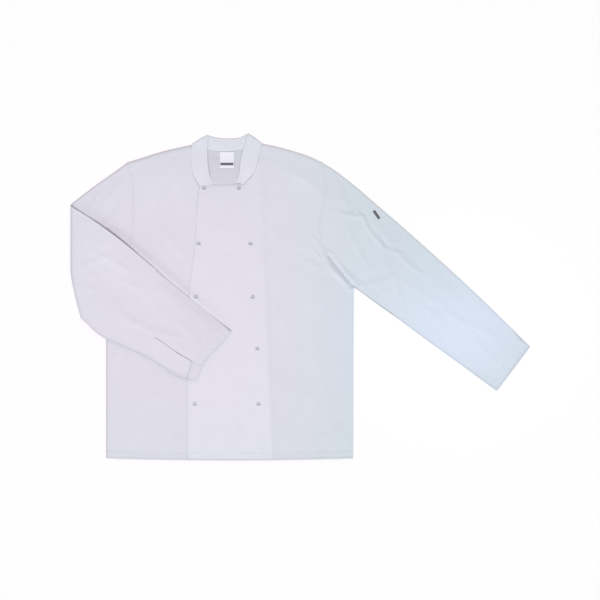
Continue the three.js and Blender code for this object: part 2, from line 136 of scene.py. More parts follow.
# height, x on the viewer's left, x on the viewer's right
ARMHOLES = (
    (414, -297, 298),
    (432, -284, 283),
    (455, -268, 265),
    (482, -251, 243),
    (512, -240, 227),
    (545, -233, 217),
    (580, -231, 218),
    (615, -231, 226),
    (650, -232, 231),
    (683, -236, 229),
    (712, -246, 222),
)
SIDES = ((0, -297, 296.5), (414, -297, 298))

# The panel's upright lines: x on the hem, x and y of the line's top, and how closely it holds to the side
BACK = (
    (-297, -246, 712, 1.0, 0),
    (-255, -208, 724, 0.75, 0),
    (-213, -170, 736, 0.5, 0),
    (-170, -130, 746, 0.25, 0),
    (-128, -90.1, 754.6, 0, 0),
    (-70, -50, 743.6, 0, 0),
    (0, -8, 739.6, 0, 0),
    (70, 35, 745.6, 0, 0),
    (128, 76.1, 757.6, 0, 0),
    (170, 113, 750, 0.25, 0),
    (213, 150, 740, 0.5, 0),
    (255, 187, 728, 0.75, 0),
    (296.5, 222, 712, 1.0, 0),
)

# How far the over front's free edge stands out from a straight line between its ends, by height
LAP_HEIGHTS = (0, 130, 300, 420, 520, 600, 661)
LAP_OUT = (0, 6, 12, 13, 4, 5, 0)


def smooth(value, low, high):
    """0 below low, 1 above high, and an easy slope between them."""
    share = np.clip((value - low) / (high - low), 0, 1)
    return share * share * (3 - 2 * share)


def bell(distance, width):
    """1 at no distance, a third at one width, and next to nothing at two."""
    return np.exp(-((distance / width) ** 2))


def through(table, at, corners=(), spans=None):
    """A smooth curve through a table's rows, at fractional row numbers, bent sharply at corner rows."""
    table = np.asarray(table, float)
    last = len(table) - 1
    step = np.diff(table, axis=0)
    if spans is None:
        spans = np.sqrt((step.reshape(last, -1) ** 2).sum(1))
    spans = np.maximum(np.asarray(spans, float), 1e-6)
    shape = (-1,) + (1,) * (table.ndim - 1)
    span = spans.reshape(shape)
    slope = step / span
    leave = slope.copy()
    arrive = slope.copy()
    blend = (slope[:-1] * span[1:] + slope[1:] * span[:-1]) / (span[1:] + span[:-1])
    free = np.array([row not in corners for row in range(1, last)])
    leave[1:][free] = blend[free]
    arrive[:-1][free] = blend[free]
    at = np.clip(np.asarray(at, float), 0, last)
    i = np.minimum(at.astype(int), last - 1)
    t = (at - i).reshape(shape)
    curve = (2 * t**3 - 3 * t**2 + 1) * table[i] + (3 * t**2 - 2 * t**3) * table[i + 1]
    return curve + (t**3 - 2 * t**2 + t) * leave[i] * span[i] + (t**3 - t**2) * arrive[i] * span[i]


def marks(spans, spacing, first=(), last=()):
    """Where a fine grid's lines fall between coarse ones: evenly, and at set distances from either end."""
    spans = np.asarray(spans, float)
    length = np.concatenate([[0], np.cumsum(spans)])
    rows = np.arange(len(length))
    even = [0.0]
    for i, span in enumerate(spans):
        steps = max(1, round(span / spacing))
        even += [i + s / steps for s in range(1, steps + 1)]
    even = np.array(even)
    place = np.interp(even, rows, length)
    clear = 0.6 * spacing
    reach_first = max(first, default=-1) + clear
    reach_last = length[-1] - max(last, default=-1) - clear
    keep = (place > reach_first) & (place < reach_last)
    if not first:
        keep[0] = True
    if not last:
        keep[-1] = True
    near_start = np.interp(np.array(sorted(first), float), length, rows)
    near_end = np.interp(length[-1] - np.array(sorted(last, reverse=True), float), length, rows)
    return np.concatenate([near_start, even[keep], near_end])


side_heights = [UNDERARM * i / SIDE_STEPS for i in range(SIDE_STEPS)]
armhole_heights = [row[0] for row in ARMHOLES]
row_heights = np.array(side_heights + armhole_heights)
row_spans = np.diff(row_heights)
UNDERARM_ROW = SIDE_STEPS
fine_rows = np.linspace(0, len(ARMHOLES) - 1, 400)
armhole_curve = through(ARMHOLES, fine_rows, spans=np.diff(armhole_heights))


def side_at(height, side):
    column = 1 if side < 0 else 2
    table = np.array(SIDES if height < UNDERARM else ARMHOLES, float)
    return np.interp(height, table[:, 0], table[:, column])


def hem_height(x):
    return HEM_SAG * (2 * (x / HEM_LEFT) ** 2 - 1)


def drafted(lines):
    """A panel's coarse outline and inner lines, as rows of x and y from the hem up."""
    grid = []
    for height in row_heights:
        share = height / SHOULDER
        row = []
        for hem_x, top_x, top_y, hold, lap in lines:
            side = -1 if hem_x < 0 else 1
            tip = lines[0] if hem_x < 0 else lines[-1]
            x = hem_x + (top_x - hem_x) * share
            y = hem_height(hem_x) + (top_y - hem_height(hem_x)) * share
            if hold:
                straight_x = tip[0] + (tip[1] - tip[0]) * share
                straight_y = hem_height(tip[0]) + (tip[2] - hem_height(tip[0])) * share
                hem_pull = hem_height(tip[0]) * max(0, 1 - height / UNDERARM)
                x += hold * (1 - 0.25 * (1 - hold)) * (side_at(height, side) - straight_x)
                y += hold * (height + hem_pull - straight_y)
            x -= lap * np.interp(y, LAP_HEIGHTS, LAP_OUT)
            row.append((x, y))
        grid.append(row)
    return np.array(grid)


def mean_spans(grid, axis):
    step = np.diff(grid, axis=axis)
    return np.hypot(step[..., 0], step[..., 1]).mean(1 - axis)


def from_edge(grid, axis, end=False):
    """Each point's distance, along its own grid line, from the first or the last line."""
    step = np.diff(grid, axis=axis)
    length = np.hypot(step[..., 0], step[..., 1])
    zero = np.zeros_like(np.take(length, [0], axis=axis))
    run = np.cumsum(np.concatenate([zero, length], axis=axis), axis=axis)
    if end:
        return np.take(run, [-1], axis=axis) - run
    return run


def cut(lines, row_marks, column_marks, corner_columns):
    """The fine grid of a panel, resampled from its drafted lines."""
    coarse = drafted(lines)
    rows = through(coarse, row_marks, (UNDERARM_ROW,), row_spans)
    return through(rows.swapaxes(0, 1), column_marks, corner_columns).swapaxes(0, 1)


def cloth_shell(name, outer, inner, woven, ring_rows=0, tones=None):
    """A closed wall of cloth between two grids of points. Up to ring_rows its end columns are joined."""
    rows, columns = outer.shape[:2]
    count = rows * columns
    points = np.concatenate([outer.reshape(-1, 3), inner.reshape(-1, 3)])
    at = np.arange(count).reshape(rows, columns)
    below = at + count
    a, b, c, d = at[:-1, :-1], at[:-1, 1:], at[1:, 1:], at[1:, :-1]
    faces = [np.stack([a, b, c, d], -1).reshape(-1, 4)]
    faces.append(np.stack([a, d, c, b], -1).reshape(-1, 4) + count)
    faces.append(np.stack([at[0, :-1], below[0, :-1], below[0, 1:], at[0, 1:]], -1))
    faces.append(np.stack([at[-1, :-1], at[-1, 1:], below[-1, 1:], below[-1, :-1]], -1))
    low, high = at[ring_rows:-1], at[ring_rows + 1 :]
    faces.append(np.stack([low[:, 0], high[:, 0], high[:, 0] + count, low[:, 0] + count], -1))
    faces.append(np.stack([low[:, -1], low[:, -1] + count, high[:, -1] + count, high[:, -1]], -1))
    faces = np.concatenate(faces)
    corners = [points[faces[:, k]] for k in range(4)]
    halves = ((corners[0], corners[1], corners[2]), (corners[0], corners[2], corners[3]))
    volume = sum((p * np.cross(q, r)).sum() for p, q, r in halves)
    if volume < 0:
        faces = faces[:, ::-1]
    weave = np.concatenate([woven.reshape(-1, 2)] * 2)[faces.ravel()] * MM
    joined = np.arange(2 * count)
    if ring_rows:
        joined[at[: ring_rows + 1, -1]] = at[: ring_rows + 1, 0]
        joined[below[: ring_rows + 1, -1]] = below[: ring_rows + 1, 0]
    kept, faces = np.unique(joined[faces], return_inverse=True)
    faces = faces.reshape(-1, 4)
    mesh = bpy.data.meshes.new(name)
    mesh.from_pydata(placed(points[kept]).tolist(), [], faces.tolist())
    mesh.uv_layers.new(name="cloth").data.foreach_set("uv", weave.astype(np.float32).ravel())
    for tone, shares in (tones or {}).items():
        values = np.concatenate([shares.ravel()] * 2)[kept].astype(np.float32)
        mesh.attributes.new(tone, "FLOAT", "POINT").data.foreach_set("value", values)
    mesh.polygons.foreach_set("use_smooth", np.ones(len(faces), bool))
    piece = bpy.data.objects.new(name, mesh)
    bpy.context.collection.objects.link(piece)
    return piece


def lifted(grid, height):
    return np.concatenate([grid, np.asarray(height)[..., None]], -1)


def paired(first, second):
    return np.stack(np.broadcast_arrays(first, second), -1)


def nearest(values, wanted):
    return int(np.argmin(np.abs(values - wanted)))


class Shade:
    """A socket in a node tree, which adds nodes to its tree and lets a material's sums read as sums."""

    def __init__(self, tree, socket=None):
        self.tree = tree
        self.socket = socket

    def node(self, kind, settings=None, sockets=None, result=0):
        made = self.tree.nodes.new(kind)
        for name, value in (settings or {}).items():
            setattr(made, name, value)
        for name, value in (sockets or {}).items():
            if isinstance(value, Shade):
                self.tree.links.new(value.socket, made.inputs[name])
            else:
                made.inputs[name].default_value = value
        return Shade(self.tree, made.outputs[result] if made.outputs else None)

    def result(self, name):
        return Shade(self.tree, self.socket.node.outputs[name])

    def maths(self, operation, *values):
        return self.node("ShaderNodeMath", {"operation": operation}, dict(enumerate(values)))

    def __add__(self, other):
        return self.maths("ADD", self, other)

    def __sub__(self, other):
        return self.maths("SUBTRACT", self, other)

    def __rsub__(self, other):
        return self.maths("SUBTRACT", other, self)

    def __mul__(self, other):
        return self.maths("MULTIPLY", self, other)

    __radd__ = __add__
    __rmul__ = __mul__

    def sine(self):
        return self.maths("SINE", self)

    def between(self, low, high):
        """0 below low, 1 above high, and smooth between them."""
        sockets = {"Value": self, "From Min": low, "From Max": high}
        return self.node("ShaderNodeMapRange", {"interpolation_type": "SMOOTHSTEP"}, sockets)

    def noise(self, coordinates, scale, detail=2.0):
        sockets = {"Vector": coordinates, "Scale": scale, "Detail": detail}
        return self.node("ShaderNodeTexNoise", None, sockets)

    def mixed(self, share, one, other):
        """The colour one where share is 0, and the other where it is 1."""
        return self.node("ShaderNodeMix", {"data_type": "RGBA"}, {0: share, 6: one, 7: other}, 2)


def blank_material(name):
    material = bpy.data.materials.new(name)
    material.use_nodes = True
    material.node_tree.nodes.clear()
    return material, Shade(material.node_tree)


def finished(shade, colour, roughness, relief, **steady):
    """Joins a material's changing parts, and its steady ones, to its surface. relief is in metres."""
    bump = shade.node("ShaderNodeBump", None, {"Height": relief, "Strength": 1.0, "Distance": 1.0})
    sockets = {"Base Color": colour, "Roughness": roughness, "Normal": bump}
    sockets.update({name.replace("_", " "): value for name, value in steady.items()})
    surface = shade.node("ShaderNodeBsdfPrincipled", None, sockets)
    shade.node("ShaderNodeOutputMaterial", None, {"Surface": surface})


# How dark the painted shade on the cloth's edges, folds and recesses is next to plain cloth, and how far in
# from the edge it shows
EDGE_SHADE_TONE = 0.82
EDGE_SHADE_WIDTH = 4.2
WORN_TONE = 0.975
RIB_PITCH = 0.75


def shade_near(distance):
    """How much of the painted edge shade shows, 1 on the edge and 0 a few millimetres from it."""
    return bell(np.maximum(distance, 0), EDGE_SHADE_WIDTH)


def twill_finish(name, single, double):
    """Cotton twill: fine slanting ribs, uneven yarns, slight crumples, and a soft sheen."""
    material, shade = blank_material(name)
    woven = shade.node("ShaderNodeUVMap", {"uv_map": "cloth"})
    u = shade.node("ShaderNodeSeparateXYZ", None, {0: woven})
    v = u.result("Y")
    place = shade.node("ShaderNodeTexCoord", None, None, "Object")
    doubled = shade.node("ShaderNodeAttribute", {"attribute_name": "doubled"}, None, "Fac")
    edge_shade = shade.node("ShaderNodeAttribute", {"attribute_name": "edge_shade"}, None, "Fac")
    turns = 2 * math.pi / (RIB_PITCH * MM)
    ribs = ((u * 0.8 + v * 0.6) * turns).sine()
    yarns = shade.noise(woven, 1900, 2)
    patches = shade.noise(place, 7, 3)
    crumples = shade.noise(place, 24, 4)
    creases = shade.noise(place, 85, 3)
    worn = (patches - 0.5) * 0.9 + (yarns - 0.5) * 0.35 + ribs * 0.05 + 0.5
    faded = tuple(WORN_TONE * c for c in single) + (1,)
    # Painted shade: pressed is the cloth darkened where its edges turn away from the light, and in the neck
    # opening, the underarm crease and the elbow's fold
    pressed = tuple(EDGE_SHADE_TONE * c for c in single) + (1,)
    colour = shade.mixed(worn.between(0.15, 0.85), faded, single + (1,))
    colour = shade.mixed(edge_shade, shade.mixed(doubled, colour, double + (1,)), pressed)
    relief = ribs * 0.00003 + (yarns - 0.5) * 0.00008
    relief = relief + (crumples - 0.5) * 0.0016 + (creases - 0.5) * 0.00025
    roughness = 0.8 + (yarns - 0.5) * 0.2
    soft = {"Sheen_Weight": 0.15, "Sheen_Roughness": 0.5, "Specular_IOR_Level": 0.25}
    finished(shade, colour, roughness, relief, **soft)
    return material


# The twill's colour as a single cloth, and doubled
WHITE_TWILL = (0.64, 0.714, 0.762)
LINED_TWILL = (0.668, 0.744, 0.795)
twill = twill_finish("white_twill", WHITE_TWILL, LINED_TWILL)


def uneven(x, y):
    """Slow waves of laid-out cloth, about -0.4 to 0.4 mm, that no two places share."""
    waves = 0.2 * np.sin(x / 33 + 1.8 * np.sin(y / 61)) * np.sin(y / 47 + 1.4 * np.sin(x / 77 + 1))
    return waves + 0.13 * np.sin((x + 0.7 * y) / 19 + 2.2 * np.sin((y - x) / 83))


def puckered(distance, along, height=0.22, reach=12, pitch=15):
    """The small waves that a row of stitches pulls into the cloth beside it."""
    wave = np.sin(2 * math.pi * (along + 6 * np.sin(along / 67)) / pitch)
    return height * wave * bell(distance, reach)


# x, y, direction in degrees, half length, half width, height, bend
BACK_CREASES = (
    (-160, 330, 62, 150, 16, 0.7, 8),
    (60, 250, 96, 190, 18, 0.6, -10),
    (190, 420, 118, 120, 14, 0.7, 6),
    (-90, 560, 34, 120, 15, 0.6, -8),
    (120, 620, 150, 110, 14, 0.5, 6),
    (-220, 140, 84, 110, 14, 0.6, 5),
    (230, 160, 74, 120, 15, 0.6, -6),
    (-20, 90, 12, 130, 16, 0.5, 7),
)


def creased(x, y, table):
    """Soft ridges and troughs, each with a shallow fall on its far side and pointed ends."""
    height = np.zeros(np.shape(x))
    for crease_x, crease_y, degrees, half_length, half_width, rise, bend in table:
        turn = math.radians(degrees)
        along = ((x - crease_x) * math.cos(turn) + (y - crease_y) * math.sin(turn)) / half_length
        across = (y - crease_y) * math.cos(turn) - (x - crease_x) * math.sin(turn)
        fade = bell(along, 1)
        q = (across - bend * along**2) / (half_width * (0.45 + 0.55 * fade))
        ridge = 0.55 * bell(q, 1) + 0.45 * bell(1.9 * q, 1)
        height += rise * fade * (ridge - 0.4 * bell(q - 1.8, 1))
    return height


def neck_rise(x, y):
    """How far the back's cloth stands up in the neck opening, clear of the fronts and the collar round it."""
    return 2.4 * smooth(y, 640, 668) * (1 - smooth(y, 700, 738)) * (1 - smooth(np.abs(x + 13), 24, 38))


SEAM_MARKS = (0, 0.8, 2.2, 4.6)
HEM_MARKS = (0, 0.7, 2.2, 7, 13, 16.8, 18.3, 19.8, 23)
HEM_STITCH = 18.3
back_spans = mean_spans(drafted(BACK), 1)
back_rows = marks(row_spans * 1.03, 4.2, HEM_MARKS, SEAM_MARKS)
back_columns = marks(back_spans, 4.2, SEAM_MARKS, SEAM_MARKS)
back_plan = cut(BACK, back_rows, back_columns, (4, 8))
x, y = xy(back_plan)
from_hem = from_edge(back_plan, 0)
from_top = from_edge(back_plan, 0, True)
from_side = np.minimum(from_edge(back_plan, 1), from_edge(back_plan, 1, True))
from_seam = np.minimum(from_side, from_top)
lay = np.clip(creased(x, y, BACK_CREASES) + 0.6 * uneven(x, y) + 0.25, 0, 0.9)
lay *= smooth(from_seam, 0, 25) * smooth(from_hem, 0, 25)
groove = 0.25 * bell(from_hem - HEM_STITCH, 1.2) + 0.35 * bell(from_seam, 1.1)
lip = 0.28 * bell(from_hem, 0.7)
hem_fold = 0.3 * smooth(HEM_STITCH + 1.5 - from_hem, 0, 2.5)
outside_of_back = lay + groove + lip
inside_of_back = lay * 0.6 + BACK_CLOTH + hem_fold - groove * 0.6 - lip + neck_rise(x, y)
# Painted shade: the back's inside is darkened from just above the lap's top edge upwards, which shows only in
# the neck opening, for the shade in that recess
neck_painted_shade = {"edge_shade": 0.55 * smooth(y, 655, 665) + 0 * x}
back_top = lifted(back_plan, inside_of_back)
back = cloth_shell("jacket_back", lifted(back_plan, outside_of_back), back_top, back_plan, 0, neck_painted_shade)
back.data.materials.append(twill)
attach(back, "root")
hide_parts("back")

# The stitched lines of each piece are noted as it is made, and sewn with thread at the end
sewn_lines = []


def sewn(line, raise_by=0.12):
    sewn_lines.append(np.asarray(line, float) + (0, 0, raise_by))


hem_row = nearest(from_hem[:, 0], HEM_STITCH)
sewn(lifted(back_plan, outside_of_back)[hem_row, 2:-2], -0.12)

# The two fronts, cut from the same twill. The wearer's right one lies under, up to the over front's studs,
# and the wearer's left one laps over it. Both are joined to the back at the shoulders and sides, and lie a
# little proud of it between the seams.
UPPER_FLOOR = 1.5
UPPER_CLOTH = 1.2
LOFT = 2.2
LOFT_REACH = 60
COLLAR_CLOTH = 1.5
LAP_RISE = COLLAR_CLOTH + 0.3
LAP_STEP = 20

# x on the hem, x and y of the line's top, hold to the side seam, hold to the lap's free edge
UNDER_FRONT = (
    (-297, -246, 712, 1.0, 0),
    (-255, -208, 724, 0.75, 0),
    (-218, -170, 736, 0.5, 0),
    (-180, -130, 746, 0.25, 0),
    (-148, -90.3, 754.6, 0, 0),
    (-112, -91.9, 719, 0, 0),
    (-70, -88.4, 686.8, 0, 0),
    (-40, -68.4, 648.5, 0, 0),
    (5, -20, 643, 0, 0),
    (50, 28, 641, 0, 0),
    (99, 71, 640, 0, 0),
)
OVER_FRONT = (
    (-100, -71, 660, 0, 1.0),
    (-92, -63, 660.3, 0, 1.0),
    (-50, -38, 661, 0, 0.5),
    (0, -3, 661.5, 0, 0),
    (45, 34, 661.5, 0, 0),
    (75, 57.3, 686.7, 0, 0),
    (100, 69.4, 719, 0, 0),
    (128, 76.3, 757.6, 0, 0),
    (170, 113, 750, 0.25, 0),
    (213, 150, 740, 0.5, 0),
    (255, 187, 728, 0.75, 0),
    (296.5, 222, 712, 1.0, 0),
)

# The sleeves' sections from the armhole to the cuff, before any fold: x and y of the upper and the lower edge
SLEEVE_OUT = (
    (222, 712, 298, 414),
    (248, 696, 315, 402),
    (275, 676, 334, 388),
    (361, 604, 405, 337),
    (476, 503, 484, 279),
    (592, 397, 549, 232),
    (722, 270, 642, 164),
)
SLEEVE_FOLDED = (
    (-246, 712, -297, 414),
    (-282, 686, -318, 396),
    (-330, 652, -348, 370),
    (-378, 615, -378, 344),
    (-389, 607, -389, 337),
    (-420, 588, -412, 322),
    (-492, 538, -470, 290),
    (-600, 449, -556, 252),
    (-772, 307, -696, 193),
)
SHOULDER_LEFT = [row[1:3] for row in BACK[:5]]
SHOULDER_RIGHT = [row[1:3] for row in BACK[8:]]
COLLAR_BACK_EDGE = ((-51.5, 777.5), (-30, 772), (-4, 770), (22, 772), (43, 781))
ARMHOLE_LINES = [[(row[1], row[0]) for row in ARMHOLES], [(row[2], row[0]) for row in ARMHOLES]]
CLOSED_EDGES = [
    [(row[1], row[0]) for row in SIDES],
    [(row[2], row[0]) for row in SIDES],
    [row[:2] for row in SLEEVE_OUT],
    [row[2:] for row in SLEEVE_OUT],
    [row[:2] for row in SLEEVE_FOLDED],
    [row[2:] for row in SLEEVE_FOLDED],
    SHOULDER_LEFT,
    SHOULDER_RIGHT,
    COLLAR_BACK_EDGE,
]
OPEN_EDGES = [
    [(HEM_LEFT, 0), (HEM_RIGHT, 0)],
    [SLEEVE_OUT[-1][:2], SLEEVE_OUT[-1][2:]],
    [SLEEVE_FOLDED[-1][:2], SLEEVE_FOLDED[-1][2:]],
]
FOLD_X = -378.0
FOLD_HEIGHT = 4.0
FOLD_ARC = 11.0
FOLD_TURN_OVER = 50
FOLD_PRESS = 18
ELBOW_LINE = [[(FOLD_X - FOLD_ARC / 2, 340), (FOLD_X - FOLD_ARC / 2, 612)]]

# The folded forearm's outline as it lies on the fronts, clockwise from the elbow's corner. Its upper edge is
# the first four corners.
FOREARM = (
    *((-383, 612), (-275, 538), (-167, 449), (5, 307)),
    *((-71, 193), (-211, 252), (-297, 290), (-352, 322), (-383, 400)),
)

# Press studs, a pair to a row: height above the hem, and x of the pair's two caps
STUD_ROWS = ((650, -61, 22.5), (517, -74, 50.5), (389, -80.5, 55.5), (265, -83, 67), (132, -83, 69.5))
STUD_PLACES = [(x, row[0]) for row in STUD_ROWS for x in row[1:]]

# x, y, direction in degrees, half length, half width and height of the main soft folds, which the solids have
# too, and then of the smaller creases, with their bend
BROAD_FOLDS = (
    (300, 560, 62, 70, 26, 0.9),
    (345, 528, -52, 50, 20, -1.2),
    (395, 492, -60, 55, 22, 0.8),
    (260, 380, 35, 90, 24, -1.1),
    (-200, 560, 58, 95, 26, -0.9),
    (175, 640, -48, 85, 26, -0.8),
    (-430, 480, 30, 80, 30, 0.8),
    (225, 130, 78, 130, 34, -0.8),
)
FRONT_CREASES = (
    (-262, 20, 82, 55, 15, 1.2, 4),
    (-196, 14, 98, 48, 17, 1.0, -4),
    (-136, 22, 78, 62, 14, 1.3, 5),
    (-58, 12, 94, 50, 18, 0.9, 3),
    (14, 20, 84, 58, 15, 1.0, -4),
    (74, 16, 101, 46, 13, 1.1, 3),
    (142, 24, 86, 66, 17, 1.2, -5),
    (207, 14, 96, 52, 14, 1.1, 4),
    (262, 22, 80, 60, 15, 1.3, -3),
    (248, 452, -44, 62, 7, 1.5, 3),
    (222, 500, -62, 44, 8, 0.9, -3),
    (196, 470, -28, 80, 12, 0.9, 8),
    (150, 520, 152, 95, 13, 0.7, -9),
    (246, 352, 74, 90, 12, 0.8, 6),
    (205, 262, 98, 110, 14, 0.8, -10),
    (268, 180, 84, 110, 12, 0.9, 5),
    (172, 118, 66, 90, 14, 0.7, 8),
    (238, 60, 28, 70, 12, 0.7, -5),
    (128, 330, 118, 80, 12, 0.6, 7),
    (118, 610, 60, 80, 12, 0.6, -6),
    (182, 668, 146, 60, 10, 0.7, 5),
    (20, 585, 96, 70, 11, 0.6, 5),
    (-22, 440, 82, 80, 12, 0.6, -6),
    (18, 300, 104, 90, 12, 0.6, 7),
    (-30, 180, 76, 90, 13, 0.6, -6),
    (22, 70, 118, 60, 11, 0.5, 4),
    (-118, 650, 112, 80, 12, 0.7, 6),
    (-165, 605, 62, 85, 12, 0.8, -7),
    (-205, 650, 84, 60, 9, 0.9, 4),
    (-135, 520, 128, 70, 11, 0.8, 6),
    (-255, 178, 82, 90, 11, 0.8, -5),
    (-205, 110, 102, 90, 13, 0.8, 7),
    (-150, 62, 64, 70, 12, 0.6, -5),
    (-262, 268, 58, 60, 9, 0.9, 3),
    (-140, 150, 92, 90, 12, 0.6, 5),
)
SLEEVE_CREASES = (
    (268, 640, -70, 55, 9, 0.9, 4),
    (292, 585, -8, 34, 7, 1.5, 3),
    (324, 572, -62, 26, 6, 1.6, -2),
    (349, 532, -50, 30, 6, 2.0, 3),
    (368, 505, -78, 32, 7, 1.7, -3),
    (396, 498, -18, 26, 6, 1.4, 2),
    (428, 470, -42, 34, 8, 1.4, 3),
    (300, 520, -64, 70, 10, 1.1, 6),
    (284, 440, -30, 60, 9, 1.1, -4),
    (340, 420, 18, 60, 9, 0.9, 4),
    (398, 420, -66, 60, 10, 0.8, -5),
    (462, 396, -30, 70, 12, 0.8, 5),
    (498, 330, -52, 70, 11, 0.7, -5),
    (560, 330, -28, 70, 11, 0.8, 4),
    (610, 262, -48, 60, 10, 0.7, 4),
    (650, 240, 62, 50, 8, 0.7, 3),
    (-282, 640, -128, 50, 9, 1.0, 4),
    (-300, 560, 44, 60, 10, 1.0, 5),
    (-330, 610, 62, 46, 8, 1.1, -4),
    (-268, 585, 78, 50, 9, 0.9, 3),
)
FOREARM_CREASES = (
    (-352, 520, 66, 50, 8, 1.2, 4),
    (-330, 470, 28, 55, 10, 1.0, -5),
    (-345, 410, -12, 50, 10, 1.0, 4),
    (-300, 400, -50, 60, 11, 0.9, 5),
    (-285, 478, -28, 60, 10, 0.9, -4),
    (-240, 420, -22, 60, 11, 0.8, 5),
    (-232, 330, -30, 60, 10, 0.9, 4),
    (-180, 370, -46, 60, 10, 0.7, -4),
    (-150, 300, -20, 50, 9, 0.8, 4),
    (-105, 310, -50, 50, 9, 0.7, 3),
    (-60, 290, 48, 40, 8, 0.7, -3),
)


def distance_to(lines, x, y):
    nearest = np.full(np.shape(x), 1e9)
    for line in lines:
        for (x1, y1), (x2, y2) in zip(line[:-1], line[1:]):
            run_x, run_y = x2 - x1, y2 - y1
            t = np.clip(((x - x1) * run_x + (y - y1) * run_y) / (run_x**2 + run_y**2), 0, 1)
            nearest = np.minimum(nearest, np.hypot(x - x1 - t * run_x, y - y1 - t * run_y))
    return nearest


def inside_outline(corners, x, y):
    """How far inside a clockwise, outward-bulging outline a point lies."""
    depth = np.full(np.shape(x), 1e9)
    for (x1, y1), (x2, y2) in zip(corners, corners[1:] + corners[:1]):
        length = math.hypot(x2 - x1, y2 - y1)
        depth = np.minimum(depth, ((x - x1) * (y2 - y1) - (y - y1) * (x2 - x1)) / length)
    return depth


def broad_folds(x, y):
    height = np.zeros(np.shape(x))
    for fold_x, fold_y, degrees, half_length, half_width, rise in BROAD_FOLDS:
        turn = math.radians(degrees)
        along = ((x - fold_x) * math.cos(turn) + (y - fold_y) * math.sin(turn)) / half_length
        across = ((y - fold_y) * math.cos(turn) - (x - fold_x) * math.sin(turn)) / half_width
        height += rise * np.exp(-(along**2) - across**2)
    return height


def loft(x, y):
    """How far the upper layer lies clear of the lower one."""
    from_closed = distance_to(CLOSED_EDGES, x, y)
    rise = smooth(from_closed, 0, LOFT_REACH)
    at_opening = 0.5 + 0.5 * smooth(distance_to(OPEN_EDGES, x, y), 0, LOFT_REACH)
    armhole = 1 - 0.6 * bell(distance_to(ARMHOLE_LINES, x, y), 22)
    elbow = 1 - 0.8 * bell(distance_to(ELBOW_LINE, x, y), FOLD_PRESS)
    return np.clip(rise * at_opening * armhole * elbow * (LOFT + broad_folds(x, y)), 0, LOFT)


def small_creases(x, y, table):
    """The creases and slow waves of an upper layer. They die away at edges, at the elbow and round a stud."""
    height = creased(x, y, table) + 1.3 * uneven(x, y)
    height *= smooth(distance_to(CLOSED_EDGES, x, y), 2, 26)
    height *= 1 - bell(distance_to(ELBOW_LINE, x, y), FOLD_PRESS)
    for stud_x, stud_y in STUD_PLACES:
        height *= 1 - 0.9 * np.exp(-(((x - stud_x) ** 2 + (y - stud_y) ** 2) / 15**2))
    return height


LAP_TOP = ((-71, 660), (34, 661.5))
UNDERARM_PINCH = ((238, 488), (250, 471), (265, 453), (283, 431), (295, 416))


def underarm_pinch(x, y):
    """The deep crease that the outer sleeve pulls along the lower armhole, between two soft ridges."""
    away = distance_to([UNDERARM_PINCH], x, y)
    return 1.7 * bell(away - 9, 6) - 2.6 * bell(away, 3.2)


# Painted shade in the deep underarm crease, darkest along its line
def pinch_shade(x, y):
    return 0.75 * bell(distance_to([UNDERARM_PINCH], x, y), 3)


# x along the forearm's upper edge, and how high the cloth under it is pushed up beside it
BUNCHED_X = (-375, -335, -263, -190, -120, -60, 0)
BUNCHED_RISE = (0, 2.6, 6.6, 4.2, 3.8, 2.2, 0.8)


def bunched(x, y):
    """The cloth pushed up beside the forearm's upper edge: a long slope up to it, a short one under it."""
    past_edge = distance_to([FOREARM[:4]], x, y) * np.where(inside_outline(FOREARM, x, y) > 0, -1, 1)
    slope = bell(np.maximum(past_edge - 2, 0), 13) * smooth(past_edge, -4, 1)
    return np.interp(x, BUNCHED_X, BUNCHED_RISE) * slope


def neck_fall(x, y):
    """How far the fronts and the collar's ends lie lower beside the lap's top edge."""
    return 1.3 * (1 - smooth(distance_to([LAP_TOP], x, y), 0, 45))


# The lowest that an upper layer lies, from its flat floor
LOWEST = -0.9


def upper_lift(x, y):
    """Height of the fronts above their flat floor, with the forearm's weight on them."""
    pressed = smooth(inside_outline(FOREARM, x, y), -16, 6)
    lift = loft(x, y) + small_creases(x, y, FRONT_CREASES) * (1 - pressed)
    lift = lift + underarm_pinch(x, y) + bunched(x, y)
    return np.maximum(lift - neck_fall(x, y), LOWEST)


def under_edge(y):
    """x of the under front's hidden free edge, where the lap ends."""
    return 100 - 29 * y / 640


def lap_height(x, y):
    """The over front rises where it laps over the under front, and steps down just past that front's edge."""
    return LAP_RISE * (1 - smooth(x, under_edge(y) + 2, under_edge(y) + LAP_STEP))


EDGE_STITCH = 6.0
LAP_MARKS = (0, 0.7, 2.0, 4.8, 6.0, 7.2, 10)
FRONT_SPACING = 3.3


